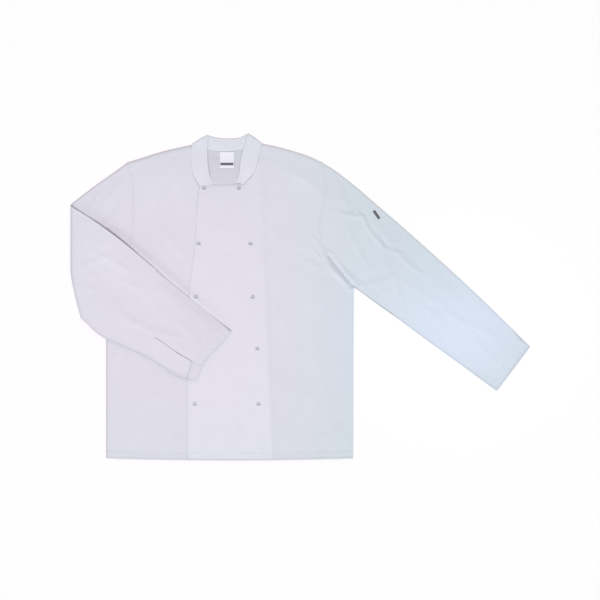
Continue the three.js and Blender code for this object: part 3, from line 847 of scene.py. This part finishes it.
def front(name, node, lines, corner_columns, lap_edge):
    """One front: its top edge is the shoulder seam, then the neck seam, then a free edge at the lap. It is
    returned with its top surface and each point's distance from the lap's free edge."""
    spans = mean_spans(drafted(lines), 1)
    if lap_edge:
        columns = marks(spans, FRONT_SPACING, LAP_MARKS, SEAM_MARKS)
    else:
        columns = marks(spans, FRONT_SPACING, SEAM_MARKS, (0, 0.8))
    rows = marks(row_spans * 1.02, FRONT_SPACING, HEM_MARKS, SEAM_MARKS)
    plan = cut(lines, rows, columns, corner_columns)
    x, y = xy(plan)
    from_hem = from_edge(plan, 0)
    from_top = from_edge(plan, 0, True)
    side_last = from_edge(plan, 1, lap_edge)
    from_lap = from_edge(plan, 1) if lap_edge else np.full(x.shape, 1e3)
    lift = upper_lift(x, y)
    if lap_edge:
        lift = lift + lap_height(x, y)
    lift = lift + puckered(from_hem, x) * smooth(side_last, 0, 20)
    lift = lift + puckered(from_lap, y, 0.15, 9) + puckered(side_last, y, 0.12, 14)
    from_seam = np.minimum(side_last, from_top)
    groove = np.where(y > UNDERARM, 0.22, 0.4) * bell(side_last, 1.2)
    groove += 0.2 * bell(from_top, 1.2)
    groove += 0.3 * bell(from_hem - HEM_STITCH, 1.1)
    groove += 0.22 * bell(from_lap - EDGE_STITCH, 1.0)
    lip = 0.3 * bell(np.minimum(from_hem, from_lap), 0.6)
    hem_fold = 0.25 * smooth(HEM_STITCH + 1.2 - from_hem, 0, 2.2)
    outside = UPPER_FLOOR + UPPER_CLOTH + lift + hem_fold - groove - lip
    # At the side and shoulder seams the wall comes down to the back's, so that they close
    joined = 1 - smooth(from_seam, 0, 5)
    at_side = joined * (distance_to(ARMHOLE_LINES, x, y) > 3)
    inside = outside + groove - CLOTH - 0.35 * hem_fold
    neck_roll = 1.1 * (1 - smooth(from_top, 0, 6)) * (y < 664) * lap_edge
    inside = inside - neck_roll
    outside = outside - 0.8 * at_side - neck_roll
    inside = np.maximum(inside - 0.8 * at_side, BACK_CLOTH + 0.05)
    # Painted shade: the front's colour is darkened along its side, top and hem edges, where the cloth turns
    # away from the light, and in the underarm crease
    side_shade = np.where(y > UNDERARM, 0.12, 0 if lap_edge else 1)
    top_shade = (0.15 if lap_edge else 0.75) * (np.abs(x + 5) > 75)
    darkened = np.maximum(side_shade * shade_near(side_last), top_shade * shade_near(from_top))
    darkened = np.maximum(darkened, 0.8 * shade_near(from_hem))
    tones = {"edge_shade": np.maximum(darkened, pinch_shade(x, y))}
    if lap_edge:
        # The doubled cloth of the lap looks whiter, but less so towards the neck
        on_lap = 1 - smooth(x, under_edge(y) - 1, under_edge(y) + 6)
        tones["doubled"] = on_lap * np.interp(y, (150, 640), (1, 0.15))
    top = lifted(plan, outside)
    piece = cloth_shell(name, top, lifted(plan, inside), plan, 0, tones)
    piece.data.materials.append(twill)
    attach(piece, "root")
    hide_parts(node)
    stitch_row = nearest(from_hem[:, 0], HEM_STITCH)
    sewn(top[stitch_row, 2:-2])
    return piece, top, from_lap


front_under, _, _ = front("front_under_lap", "front_under", UNDER_FRONT, (4, 6, 7), False)
front_over, over_top, over_from_lap = front("front_over_lap", "front_over", OVER_FRONT, (4, 7), True)
LAP_STITCH_ROWS = slice(8, -3)
edge_column = nearest(over_from_lap[len(over_from_lap) // 4], EDGE_STITCH)
sewn(over_top[LAP_STITCH_ROWS, edge_column])

# The sleeves: each a tube of the same twill, sewn up under the arm and into the armhole, pressed flat, with a
# turned cuff hem and a short vent where the seam ends. The wearer's left one lies straight out. The right one
# is folded over at the elbow, so that its underside and its vent lie uppermost across the front.
TUBE_ACROSS = 88
TUBE_SPACING = 3.3
TUBE_WIDTH = 298
# The vent: its place in the sleeve's width, its length, how much shorter than the cuff its flap is, and how
# far the flap laps over the other side and stands clear of it
VENT_SHARE = 68 / TUBE_WIDTH
VENT_LENGTH = 165
FLAP_SHORT = 26
FLAP_SLIP = 2.6
FLAP_LIFT = 0.7
# How far the seam bends, by the distance past the vent's top, and over what share of the width
VENT_BEND = ((-70, 0, 110), (0, 7, 0))
VENT_BEND_SHARE = 0.09
# How much shorter than its pattern the folded cuff lies, by its share of the width from the lower edge
CUFF_BOW = ((0, 0.05, 0.16, 0.33, 0.65, 1), (10, 6, 11, 17, 9, 0))
CUFF_STITCH = 29.0
CUFF_MARKS = (0, 0.7, 2.2, 8, 15, 22, 27.6, 29.0, 30.4, 34)
EDGE_RADIUS = 1.35
EDGE_ROLL = 3.2
# The lowest that a sleeve's lofted layer lies, and the sum of a forearm point's x before and after the fold
TUBE_LOWEST = -0.3
FOREARM_MIRROR = 2 * FOLD_X - FOLD_ARC
# How far the sleeve closes on the fronts at the armhole seam, and how soon the seam's curve eases out of it
SEAM_LAP = 0.3
ARMHOLE_EASE = 140
# How far the folded forearm's lower edge hangs in, where along the pattern, and over what reach
LOW_EDGE_SAG = 14.0
LOW_EDGE_AT = -672
LOW_EDGE_REACH = 75
# The elbow's lower corner, slipped inwards: from what height, over what fall, how far, and between which x
CORNER_FROM = 452
CORNER_FALL = 110
CORNER_PULL = 24
CORNER_REACH = (-384, -300)
# The forearm climbs onto the lap, by how much and between which x
FOREARM_RISE = 3.7
FOREARM_LIFT = (-190, -105)
# x, height and reach of the waves in which the forearm's upper edge stands off the front or hangs, and how
# far down the sleeve they begin
UPPER_EDGE_WAVES = ((-340, 1.5, 30), (-278, 9.5, 48), (-195, 3, 40), (-130, -2.2, 32), (-60, -2.6, 45))
WAVES_FROM = (150, 190)


def folded_at_elbow(points):
    """The forearm turned over at the elbow, its lower corner slipped inwards and its end on the lap."""
    x, y, z = np.moveaxis(points, -1, 0)
    past = FOLD_X - x
    turn = math.pi * np.clip(past / FOLD_ARC, 0, 1)
    radius = FOLD_HEIGHT - z
    over = past >= FOLD_ARC
    folded_x = np.where(past > 0, FOLD_X - radius * np.sin(turn), x)
    folded_x = np.where(over, FOLD_X + past - FOLD_ARC, folded_x)
    folded_z = np.where(past > 0, FOLD_HEIGHT - radius * np.cos(turn), z)
    folded_z = folded_z + np.where(over, FOREARM_RISE * smooth(folded_x, *FOREARM_LIFT), 0)
    slip = np.clip((CORNER_FROM - y) / CORNER_FALL, 0, 1) ** 1.3
    folded_x = folded_x + CORNER_PULL * slip * (1 - smooth(folded_x, *CORNER_REACH))
    return np.stack([folded_x, y, folded_z], -1)


def sleeve(name, node, sections, side, folded):
    """One sleeve, a tube that is closed down to its vent, and the line on which its cuff is stitched."""
    spans = mean_spans(np.array(sections, float).reshape(-1, 2, 2), 0)
    stations = marks(spans, TUBE_SPACING, SEAM_MARKS, CUFF_MARKS)
    edges = through(sections, stations)
    top, low = edges[:, None, :2], edges[:, None, 2:]
    run = np.interp(stations, np.arange(len(spans) + 1), np.concatenate([[0], np.cumsum(spans)]))[:, None]
    length = run[-1, 0]
    to_cuff = length - run

    # Round the tube: along the under layer to the lower edge, back over the top, and under again to the seam
    out = np.linspace(0, 1, TUBE_ACROSS + 1)
    near_seam = np.array([0.004, 0.011, 0.022])
    arc = np.linspace(-math.pi / 2, math.pi / 2, 7)[1:-1]
    first = np.concatenate([[VENT_SHARE], VENT_SHARE - near_seam, out[(out < VENT_SHARE - 0.03)][::-1]])
    last = np.concatenate([out[out > VENT_SHARE + 0.03][::-1], VENT_SHARE + near_seam[::-1], [VENT_SHARE]])
    share = np.concatenate([first, np.zeros(len(arc)), out, np.ones(len(arc)), last])[None, :]
    level = [0 * first - 1, np.sin(arc), 0 * out + 1, np.sin(arc[::-1]), 0 * last - 1]
    level = np.concatenate(level)[None, :]
    rounding = np.concatenate([0 * first, np.cos(arc), 0 * out, np.cos(arc), 0 * last])[None, :]
    start_side = np.zeros(share.shape[1], bool)
    start_side[: len(first) + len(arc)] = True

    width = np.hypot(*(top - low)[:, 0].T)[:, None]
    upward = (top - low) / width[..., None]
    cuffward = np.gradient(edges[:, 2:], axis=0)
    cuffward = (cuffward / np.hypot(*cuffward.T)[:, None])[:, None, :]

    # The vent's flap: its free edge laps a little over the other side, and it ends short of the cuff
    past_vent = VENT_LENGTH - to_cuff
    flap = np.where(start_side, share / VENT_SHARE, 0) * (level <= 0)
    slip = np.interp(past_vent, (0, 15), (0, FLAP_SLIP)) * folded
    flap_lift = FLAP_LIFT * np.interp(past_vent, (0, 8), (0, 1)) * folded
    flap_short = FLAP_SHORT * (1 + 0.6 * share / VENT_SHARE)
    short = np.where(start_side, flap_short, np.interp(share, *CUFF_BOW))
    short = short * np.clip(past_vent / VENT_LENGTH, 0, 1) * folded
    seam_bend = np.interp(past_vent, *VENT_BEND) * bell(share - VENT_SHARE, VENT_BEND_SHARE)
    seam_bend = seam_bend * (level < 0) * folded
    sag = LOW_EDGE_SAG * bell(edges[:, 2:3] - LOW_EDGE_AT, LOW_EDGE_REACH) * folded

    bow = np.clip(1 - run / ARMHOLE_EASE, 0, 1) ** 2
    column = 1 if side < 0 else 2
    armhole_y = UNDERARM + share * (SHOULDER - UNDERARM)
    armhole_x = np.interp(armhole_y, armhole_curve[:, 0], armhole_curve[:, column])
    chord_x = armhole_curve[0, column] + share * (armhole_curve[-1, column] - armhole_curve[0, column])

    def plan_of(radius):
        """The unfolded sleeve's x and y, with this radius on its rolled edges."""
        inset = EDGE_ROLL - (EDGE_ROLL - EDGE_RADIUS + radius) * rounding
        at = np.where(share > 0.5, width - inset, inset)
        at = np.where(rounding > 0, at, np.clip(share * width, inset, width - inset))
        point = low + upward * (at + seam_bend - sag * (1 - smooth(share, 0, 0.2)))[..., None]
        point = point + np.stack([bow * (armhole_x - chord_x) - side * SEAM_LAP, 0 * at], -1)
        point = point - cuffward * short[..., None]
        return point + upward * (slip * (flap == 1))[..., None]

    def wall_of(radius, outermost):
        """The unfolded sleeve's outermost surface, or the one inside its cloth."""
        plan = plan_of(radius)
        x, y = xy(plan)
        turned = smooth(FOLD_X - FOLD_ARC - x, 0, FOLD_TURN_OVER) * folded
        over, under = np.maximum(level, 0), np.maximum(-level, 0)
        upper = loft(x, y) + small_creases(x, y, SLEEVE_CREASES) + underarm_pinch(x, y) + bunched(x, y)
        upper = np.maximum(upper, LOWEST) * (1 - turned)
        # The turned forearm's creases are placed as it lies on the fronts, so they are looked up mirrored
        turned_creases = small_creases(FOREARM_MIRROR - x, y, FOREARM_CREASES) * folded
        lower = np.maximum(loft(x, y) + turned_creases, TUBE_LOWEST) * turned
        resting = 0.5 * np.clip(uneven(x + 40, y), 0, 1) * smooth(distance_to(CLOSED_EDGES, x, y), 2, 26)
        lower = lower - resting * (1 - turned)
        hem = 0.22 * smooth(CUFF_STITCH + 1.2 - to_cuff, 0, 2.2)
        seam = 0.25 * bell(run, 1.2) + 0.3 * bell(to_cuff - CUFF_STITCH, 1.1)
        under_seam = 0.35 * bell(np.abs(share - VENT_SHARE) * width, 1.3) * (level < 0) * (past_vent < 0)
        lip = 0.3 * bell(to_cuff, 0.6)
        skin = hem - seam - lip if outermost else -0.4 * hem
        z = EDGE_RADIUS + level * (radius + skin) + over * upper - under * (lower - under_seam * outermost)
        z = z + (over - under * turned) * puckered(to_cuff, share * width, 0.2)
        return lifted(plan, z - flap_lift * flap)

    outer, inner = wall_of(EDGE_RADIUS, True), wall_of(EDGE_RADIUS - CLOTH, False)
    if folded:
        outer, inner = folded_at_elbow(outer), folded_at_elbow(inner)
        # The forearm's upper edge arches clear of the front, most where it crosses from sleeve to body
        arch = 0
        for wave_x, rise, reach in UPPER_EDGE_WAVES:
            near = smooth(share, 0.5, 1) if rise > 0 else smooth(share, 0.84, 1)
            arch = arch + rise * near * bell(outer[..., 0] - wave_x, reach)
        arch = arch * smooth(run, *WAVES_FROM)
        outer[..., 2] += arch
        inner[..., 2] += arch
    around = np.concatenate([[0], np.cumsum(np.abs(np.diff(share[0])))]) * TUBE_WIDTH
    flat_x, flat_y = xy(plan_of(EDGE_RADIUS))
    # Painted shade: the sleeve's colour is darkened along its edges and at the armhole seam, round the
    # elbow's fold on the folded sleeve, and at the cuff and in the underarm crease on the straight one
    # The forearm's far edge, which lies on the front, isn't darkened past the elbow
    from_upper = np.where(folded & (flat_x < FOLD_X), 1e3, (1 - share) * width)
    at_edge = shade_near(np.minimum(share * width, from_upper))
    darkened = at_edge * np.where(share > 0.5, 0.75 if folded else 0.1, 1)
    darkened = np.maximum(darkened, 0.12 * shade_near(run))
    if folded:
        darkened = np.maximum(darkened, shade_near(np.abs(flat_x - FOLD_X + FOLD_ARC / 2) - 3))
    else:
        darkened = np.maximum(np.maximum(darkened, shade_near(to_cuff)), pinch_shade(flat_x, flat_y))
    ring_rows = nearest(past_vent[:, 0], 0)
    tones = {"edge_shade": darkened}
    piece = cloth_shell(name, outer, inner, paired(run, around[None, :]), ring_rows, tones)
    piece.data.materials.append(twill)
    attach(piece, "root")
    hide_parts(node)
    return piece, outer[nearest(to_cuff[:, 0], CUFF_STITCH)]


sleeve_out, out_cuff = sleeve("sleeve_out", "sleeve_left", SLEEVE_OUT, 1, False)
sleeve_over, over_cuff = sleeve("sleeve_over", "sleeve_right", SLEEVE_FOLDED, -1, True)

# The stand collar: a doubled band of twill round a stiff lining, sewn to the neck seam and top-stitched along
# its free edge. It is folded flat at the two sides of the neck, so that its back part lies below its fronts.
COLLAR_THICK = 1.4
COLLAR_WIDE = 38
COLLAR_STITCH = 0.84

# x and y on the neck seam, x and y on the free edge, and the turn from the upper layer, 0, to the lower, 1
COLLAR = (
    (-68, 649, -33, 652, 0),
    (-78, 668, -41, 667, 0),
    (-88, 687, -48, 684, 0),
    (-91.5, 719, -52.5, 719, 0),
    (-90, 755, -51.5, 777.5, 0),
    (-90, 755, -51.5, 777.5, 1),
    (-50, 744, -30, 772, 1),
    (-8, 740, -4, 770, 1),
    (35, 746, 22, 772, 1),
    (76, 758, 43, 781, 1),
    (76, 758, 43, 781, 0),
    (69, 719, 26.5, 719, 0),
    (57, 687, 23, 685, 0),
    (33, 660.8, 14.5, 664.8, 0),
)
COLLAR_FOLDS = (4, 5, 9, 10)
FOLD_STEPS = 16
collar_rows = np.array(COLLAR, float)
collar_spans = np.hypot(*np.diff(collar_rows[:, :2], axis=0).T)
half_turn = np.linspace(0, 1, FOLD_STEPS + 1)[1:]
collar_at = np.concatenate([
    marks(collar_spans[:4], 2.4, (0, 0.7, 2)),
    4 + half_turn,
    5 + marks(collar_spans[5:9], 2.4)[1:],
    9 + half_turn,
    10 + marks(collar_spans[10:], 2.4, (), (0, 0.7, 2))[1:],
])
collar_lines = through(collar_rows[:, :4], collar_at, COLLAR_FOLDS)
seam_line, edge_line = collar_lines[:, None, :2], collar_lines[:, None, 2:]
turned = np.interp(collar_at, range(len(COLLAR)), collar_rows[:, 4])[:, None]
to_stitch = [-0.01, 0.02, 0.055, 0.11, 0.17, 0.24, 0.31, 0.38, 0.45, 0.52, 0.59, 0.66, 0.73, 0.79]
across = np.array([*to_stitch, 0.815, COLLAR_STITCH, 0.865, 0.9, 0.94, 0.98, 1])[None, :]
plan = seam_line + (edge_line - seam_line) * across[..., None]
x, y = xy(plan)
inward = np.clip(across, 0, 1)
band_floor = UPPER_FLOOR + COLLAR_CLOTH / 2
upper_middle = band_floor + loft(x, y) * (1 - 0.5 * inward)
upper_middle = np.maximum(upper_middle - neck_fall(x, y), band_floor)
upper_middle = upper_middle + (0.9 + 0.5 * uneven(x * 2, y * 2)) * np.sin(math.pi * inward) ** 0.8
lower_middle = COLLAR_CLOTH / 2 + 0 * across
angle = math.pi * turned
radius = (upper_middle - lower_middle) / 2
outward = np.stack([(seam_line - edge_line)[..., 1], (edge_line - seam_line)[..., 0]], -1)
outward = outward / np.hypot(*np.moveaxis(outward, -1, 0))[..., None]
outward = np.where(seam_line[..., :1] > 0, -outward, outward)
bulge = outward * (radius * np.sin(angle))[..., None]
middle = lifted(plan + bulge, (upper_middle + lower_middle) / 2 + radius * np.cos(angle))
sin_turn, cos_turn = np.sin(angle)[..., None], np.cos(angle)[..., None]
face = np.concatenate([outward * sin_turn, cos_turn], -1)
face = np.broadcast_to(face, middle.shape)
band_width = np.hypot(*np.moveaxis(edge_line - seam_line, -1, 0))
from_end = np.minimum(from_edge(plan, 0), from_edge(plan, 0, True))
from_free = (1 - across) * band_width
from_band_edge = np.minimum(from_free, from_end)
half_thick = COLLAR_THICK / 2 - 0.35 * bell(from_band_edge, 0.6)
half_thick = half_thick - 0.25 * bell((across - COLLAR_STITCH) * band_width, 0.9)
half_thick = (half_thick - 0.15 * bell(across * band_width, 1.0))[..., None]
collar_top = middle + face * half_thick
middle_line = plan[:, plan.shape[1] // 2]
along_collar = np.cumsum(np.r_[0, np.hypot(*np.diff(middle_line, axis=0).T)])
collar_woven = paired(along_collar[:, None], across * COLLAR_WIDE)
collar_tone = {"doubled": 0.6 + 0 * from_end}
collar = cloth_shell("stand_collar", collar_top, middle - face * half_thick, collar_woven, 0, collar_tone)
collar.data.materials.append(twill)
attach(collar, "root")
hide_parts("collar")
stitch_column = nearest(across[0], COLLAR_STITCH)
sewn(collar_top[3:-3, stitch_column])

# The neck label: a smooth white woven tab with one plain dark bar, sewn down along its top edge below the
# back of the neck, its lower edge free and a little curled
LABEL_LEFT, LABEL_RIGHT = -24.0, 11.0
LABEL_LOW, LABEL_HIGH = 699.0, 739.0
LABEL_WIDE, LABEL_TALL = LABEL_RIGHT - LABEL_LEFT, LABEL_HIGH - LABEL_LOW
LABEL_THICK = 0.45
LABEL_CLEAR = 0.45
LABEL_BAR = (0.17, 0.335)
label_x = np.linspace(0, 1, 30)[None, :]
label_y = np.linspace(0, 1, 34)[:, None]
label_sway = 0.4 * np.sin(label_y * 3)
label_plan = paired(LABEL_LEFT + LABEL_WIDE * label_x + label_sway, LABEL_LOW + LABEL_TALL * label_y)
free = 1 - label_y
curl = 2.0 * free**3 + 0.5 * np.sin(math.pi * label_x) * free + 0.5 * (2 * label_x - 1) ** 4 * free
label_base = BACK_CLOTH + LABEL_CLEAR + curl + neck_rise(*xy(label_plan))
label_top = lifted(label_plan, label_base + LABEL_THICK)
label_woven = paired(label_x * LABEL_WIDE, label_y * LABEL_TALL)
label = cloth_shell("neck_label", label_top, lifted(label_plan, label_base), label_woven)
label_finish, shade = blank_material("label_satin")
woven = shade.node("ShaderNodeUVMap", {"uv_map": "cloth"})
u = shade.node("ShaderNodeSeparateXYZ", None, {0: woven})
v = u.result("Y")
bar_low, bar_high = LABEL_TALL * MM * LABEL_BAR[0], LABEL_TALL * MM * LABEL_BAR[1]
inside_bar = v.between(bar_low, bar_low + 0.0006) - v.between(bar_high - 0.0003, bar_high + 0.0003)
inside_bar = inside_bar * (u.between(0.0012, 0.0022) - u.between(0.0328, 0.0338))
threads = shade.noise(woven, 2600, 1)
warp = (u * (2 * math.pi / 0.00035)).sine()
satin = shade.mixed(threads, (0.745, 0.837, 0.891, 1), (0.788, 0.875, 0.934, 1))
ink = shade.mixed(threads, (0.1, 0.115, 0.135, 1), (0.14, 0.15, 0.18, 1))
finished(
    shade,
    shade.mixed(inside_bar, satin, ink),
    0.5 + (threads - 0.5) * 0.15,
    warp * 0.00001 + inside_bar * 0.00003,
    Sheen_Weight=0.1,
)
label.data.materials.append(label_finish)
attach(label, "root")
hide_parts("label_neck")
sewn(label_top[-3, 1:-1], 0.05)

# The sleeve tab: a short piece of dark woven tape, sewn flat to the outer sleeve near its upper edge
TAB_X, TAB_Y = 353.0, 587.5
TAB_LONG, TAB_WIDE = 23.5, 6.6
TAB_DEGREES = -55
tab_turn = math.radians(TAB_DEGREES)
tab_along = np.linspace(-0.5, 0.5, 28)[None, :] * TAB_LONG
tab_across = np.linspace(-0.5, 0.5, 10)[:, None] * TAB_WIDE
x = TAB_X + tab_along * math.cos(tab_turn) - tab_across * math.sin(tab_turn)
y = TAB_Y + tab_along * math.sin(tab_turn) + tab_across * math.cos(tab_turn)
tab_plan = paired(x, y)
sleeve_shape = np.maximum(loft(x, y) + small_creases(x, y, SLEEVE_CREASES), TUBE_LOWEST)
tab_base = 2 * EDGE_RADIUS + sleeve_shape + 0.05
tab_edge = np.minimum(TAB_LONG / 2 - np.abs(tab_along), TAB_WIDE / 2 - np.abs(tab_across))
tab_top = tab_base + 0.6 - 0.3 * bell(tab_edge, 0.5)
tab_walls = lifted(tab_plan, tab_top), lifted(tab_plan, tab_base)
tab = cloth_shell("sleeve_tab", *tab_walls, paired(tab_along, tab_across))
tab_finish, shade = blank_material("dark_tape")
woven = shade.node("ShaderNodeUVMap", {"uv_map": "cloth"})
u = shade.node("ShaderNodeSeparateXYZ", None, {0: woven})
v = u.result("Y")
weft = (u * (2 * math.pi / 0.0006)).sine() * (v * (2 * math.pi / 0.0009)).sine()
fuzz = shade.noise(woven, 2000, 2)
dark = shade.mixed(weft.between(-0.6, 0.9), (0.085, 0.085, 0.1, 1), (0.16, 0.16, 0.18, 1))
finished(shade, dark, 0.75 + (fuzz - 0.5) * 0.2, weft * 0.00004, Sheen_Weight=0.2)
tab.data.materials.append(tab_finish)
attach(tab, "root")
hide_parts("label_sleeve")

# The press studs: ten dull grey metal caps in two columns of five, each a drawn ring round a shallow dish,
# clinched through the over front
# radius and height of the cap's outline, from the middle of its foot round the ring to the middle of its dish
STUD_PROFILE = (
    *((0, 0), (4.6, 0), (5, 0.25), (5, 0.75), (4.75, 1.2), (4.2, 1.5), (3.5, 1.62)),
    *((2.9, 1.52), (2.4, 1.38), (1.2, 1.3), (0, 1.28)),
)
STUD_SIDES = 28
STUD_SINK = 0.05


def turned_shape(name, profile, sides):
    """A lathe-turned shape about the z axis, from radius and height in millimetres."""
    around = np.linspace(0, 2 * math.pi, sides, endpoint=False)
    points = [(0, 0, profile[0][1] * MM)]
    for r, height in profile[1:-1]:
        points += [(r * math.cos(a) * MM, r * math.sin(a) * MM, height * MM) for a in around]
    points.append((0, 0, profile[-1][1] * MM))
    top = len(points) - 1
    faces = [(0, 1 + (k + 1) % sides, 1 + k) for k in range(sides)]
    for ring in range(len(profile) - 3):
        low = 1 + ring * sides
        for k in range(sides):
            beside = low + (k + 1) % sides
            faces.append((low + k, beside, beside + sides, low + k + sides))
    low = top - sides
    faces += [(low + k, low + (k + 1) % sides, top) for k in range(sides)]
    mesh = bpy.data.meshes.new(name)
    mesh.from_pydata(points, [], faces)
    mesh.polygons.foreach_set("use_smooth", np.ones(len(faces), bool))
    rim = [math.hypot(x, y) / (max(r for r, _ in profile) * MM) for x, y, _ in points]
    mesh.attributes.new("rim", "FLOAT", "POINT").data.foreach_set("value", rim)
    return bpy.data.objects.new(name, mesh)


def node_tree(name, inputs):
    """A Geometry Nodes tree with its named inputs, and what adds nodes to it."""
    tree = bpy.data.node_groups.new(name, "GeometryNodeTree")
    tree.interface.new_socket("Geometry", in_out="INPUT", socket_type="NodeSocketGeometry")
    for label_text, kind in inputs:
        tree.interface.new_socket(label_text, in_out="INPUT", socket_type="NodeSocket" + kind)
    tree.interface.new_socket("Geometry", in_out="OUTPUT", socket_type="NodeSocketGeometry")
    return tree, Shade(tree)


def grown(piece, tree, values):
    """The plain mesh that a Geometry Nodes tree makes of a piece, in place of the piece's own."""
    modifier = piece.modifiers.new(tree.name, "NODES")
    modifier.node_group = tree
    for socket in tree.interface.items_tree:
        if socket.in_out == "INPUT" and socket.name in values:
            modifier[socket.identifier] = values[socket.name]
    seen = piece.evaluated_get(bpy.context.evaluated_depsgraph_get())
    mesh = bpy.data.meshes.new_from_object(seen)
    piece.modifiers.remove(modifier)
    piece.data = mesh
    mesh.name = piece.name


def height_on(top, x, y):
    """The height of a grid of points about one place on it."""
    near = np.hypot(top[..., 0] - x, top[..., 1] - y)
    weight = bell(near, 3.0)
    return float((weight * top[..., 2]).sum() / weight.sum())


stud_seats = placed([(x, y, height_on(over_top, x, y) - STUD_SINK) for x, y in STUD_PLACES])
seat_mesh = bpy.data.meshes.new("press_studs")
seat_mesh.from_pydata(stud_seats.tolist(), [], [])
studs = bpy.data.objects.new("press_studs", seat_mesh)
bpy.context.collection.objects.link(studs)
stud_metal, shade = blank_material("stud_grey_metal")
place = shade.node("ShaderNodeTexCoord", None, None, "Object")
grain = shade.noise(place, 2200, 2)
tarnish = shade.noise(place, 320, 2)
rim = shade.node("ShaderNodeAttribute", {"attribute_name": "rim"}, None, "Fac")
middle_metal = shade.mixed(tarnish.between(0.3, 0.7), (0.34, 0.42, 0.44, 1), (0.43, 0.51, 0.53, 1))
metal = shade.mixed(rim.between(0.45, 0.75), middle_metal, (0.6, 0.7, 0.72, 1))
finished(shade, metal, 0.5 + (tarnish - 0.5) * 0.25, grain * 0.00002, Metallic=1.0)
cap = turned_shape("stud_cap", STUD_PROFILE, STUD_SIDES)
bpy.context.collection.objects.link(cap)
stud_inputs = (("Cap", "Object"), ("Metal", "Material"), ("Cap scale", "Float"))
stud_tree, build = node_tree("stud_row", stud_inputs)
given = build.node("NodeGroupInput")
cap_shape = build.node("GeometryNodeObjectInfo", None, {"Object": given.result("Cap")}, "Geometry")
points = build.node("GeometryNodeMeshToPoints", None, {"Mesh": given})
set_out = {"Points": points, "Instance": cap_shape, "Scale": given.result("Cap scale")}
caps = build.node("GeometryNodeInstanceOnPoints", None, set_out)
real = build.node("GeometryNodeRealizeInstances", None, {"Geometry": caps})
metalled = {"Geometry": real, "Material": given.result("Metal")}
metalled = build.node("GeometryNodeSetMaterial", None, metalled)
build.node("NodeGroupOutput", None, {"Geometry": metalled})
grown(studs, stud_tree, {"Cap": cap, "Metal": stud_metal, "Cap scale": 1.0})
bpy.data.objects.remove(cap)
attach(studs, "root")
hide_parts(*[f"stud_{side}_{row}" for side in ("left", "right") for row in range(1, 6)])

# The thread: white cotton lockstitch, 3.3 mm to a stitch, along the hems, cuffs, lap edge and collar
STITCH = 3.3
STITCH_SIZE = (2.5 * MM, 0.5 * MM, 0.36 * MM)
sewn(np.concatenate([out_cuff, out_cuff[:1]]), 0)
sewn(over_cuff[:-1], 0)
thread_points = np.concatenate([placed(line) for line in sewn_lines])
thread_edges = []
start = 0
for line in sewn_lines:
    thread_edges += [(start + k, start + k + 1) for k in range(len(line) - 1)]
    start += len(line)
thread_mesh = bpy.data.meshes.new("stitching")
thread_mesh.from_pydata(thread_points.tolist(), thread_edges, [])
thread = bpy.data.objects.new("stitching", thread_mesh)
bpy.context.collection.objects.link(thread)
thread_finish, shade = blank_material("white_thread")
place = shade.node("ShaderNodeTexCoord", None, None, "Object")
strands = shade.noise(place, 5200, 2)
cotton = shade.mixed(strands, (0.70, 0.69, 0.77, 1), (0.80, 0.79, 0.87, 1))
finished(shade, cotton, 0.6 + (strands - 0.5) * 0.3, strands * 0.00004, Sheen_Weight=0.1)
stitch_inputs = (("Spacing", "Float"), ("Stitch size", "Vector"), ("Thread", "Material"))
stitch_tree, build = node_tree("lockstitch", stitch_inputs)
given = build.node("NodeGroupInput")
path = build.node("GeometryNodeMeshToCurve", None, {"Mesh": given})
spaced = {"Curve": path, "Length": given.result("Spacing")}
steps = build.node("GeometryNodeResampleCurve", {"mode": "LENGTH"}, spaced)
tangent = build.node("GeometryNodeInputTangent")
facing = {"axis": "X", "pivot_axis": "Z"}
aligned = build.node("FunctionNodeAlignRotationToVector", facing, {"Vector": tangent})
bead = build.node("GeometryNodeMeshUVSphere", None, {"Segments": 6, "Rings": 4, "Radius": 0.5})
sized = {"Geometry": bead, "Scale": given.result("Stitch size")}
stitch_shape = build.node("GeometryNodeTransform", None, sized)
set_out = {"Points": steps, "Instance": stitch_shape, "Rotation": aligned}
stitches = build.node("GeometryNodeInstanceOnPoints", None, set_out)
real = build.node("GeometryNodeRealizeInstances", None, {"Geometry": stitches})
threaded = {"Geometry": real, "Material": given.result("Thread")}
threaded = build.node("GeometryNodeSetMaterial", None, threaded)
build.node("NodeGroupOutput", None, {"Geometry": threaded})
grown(thread, stitch_tree, {"Spacing": STITCH * MM, "Stitch size": STITCH_SIZE, "Thread": thread_finish})
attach(thread, "root")
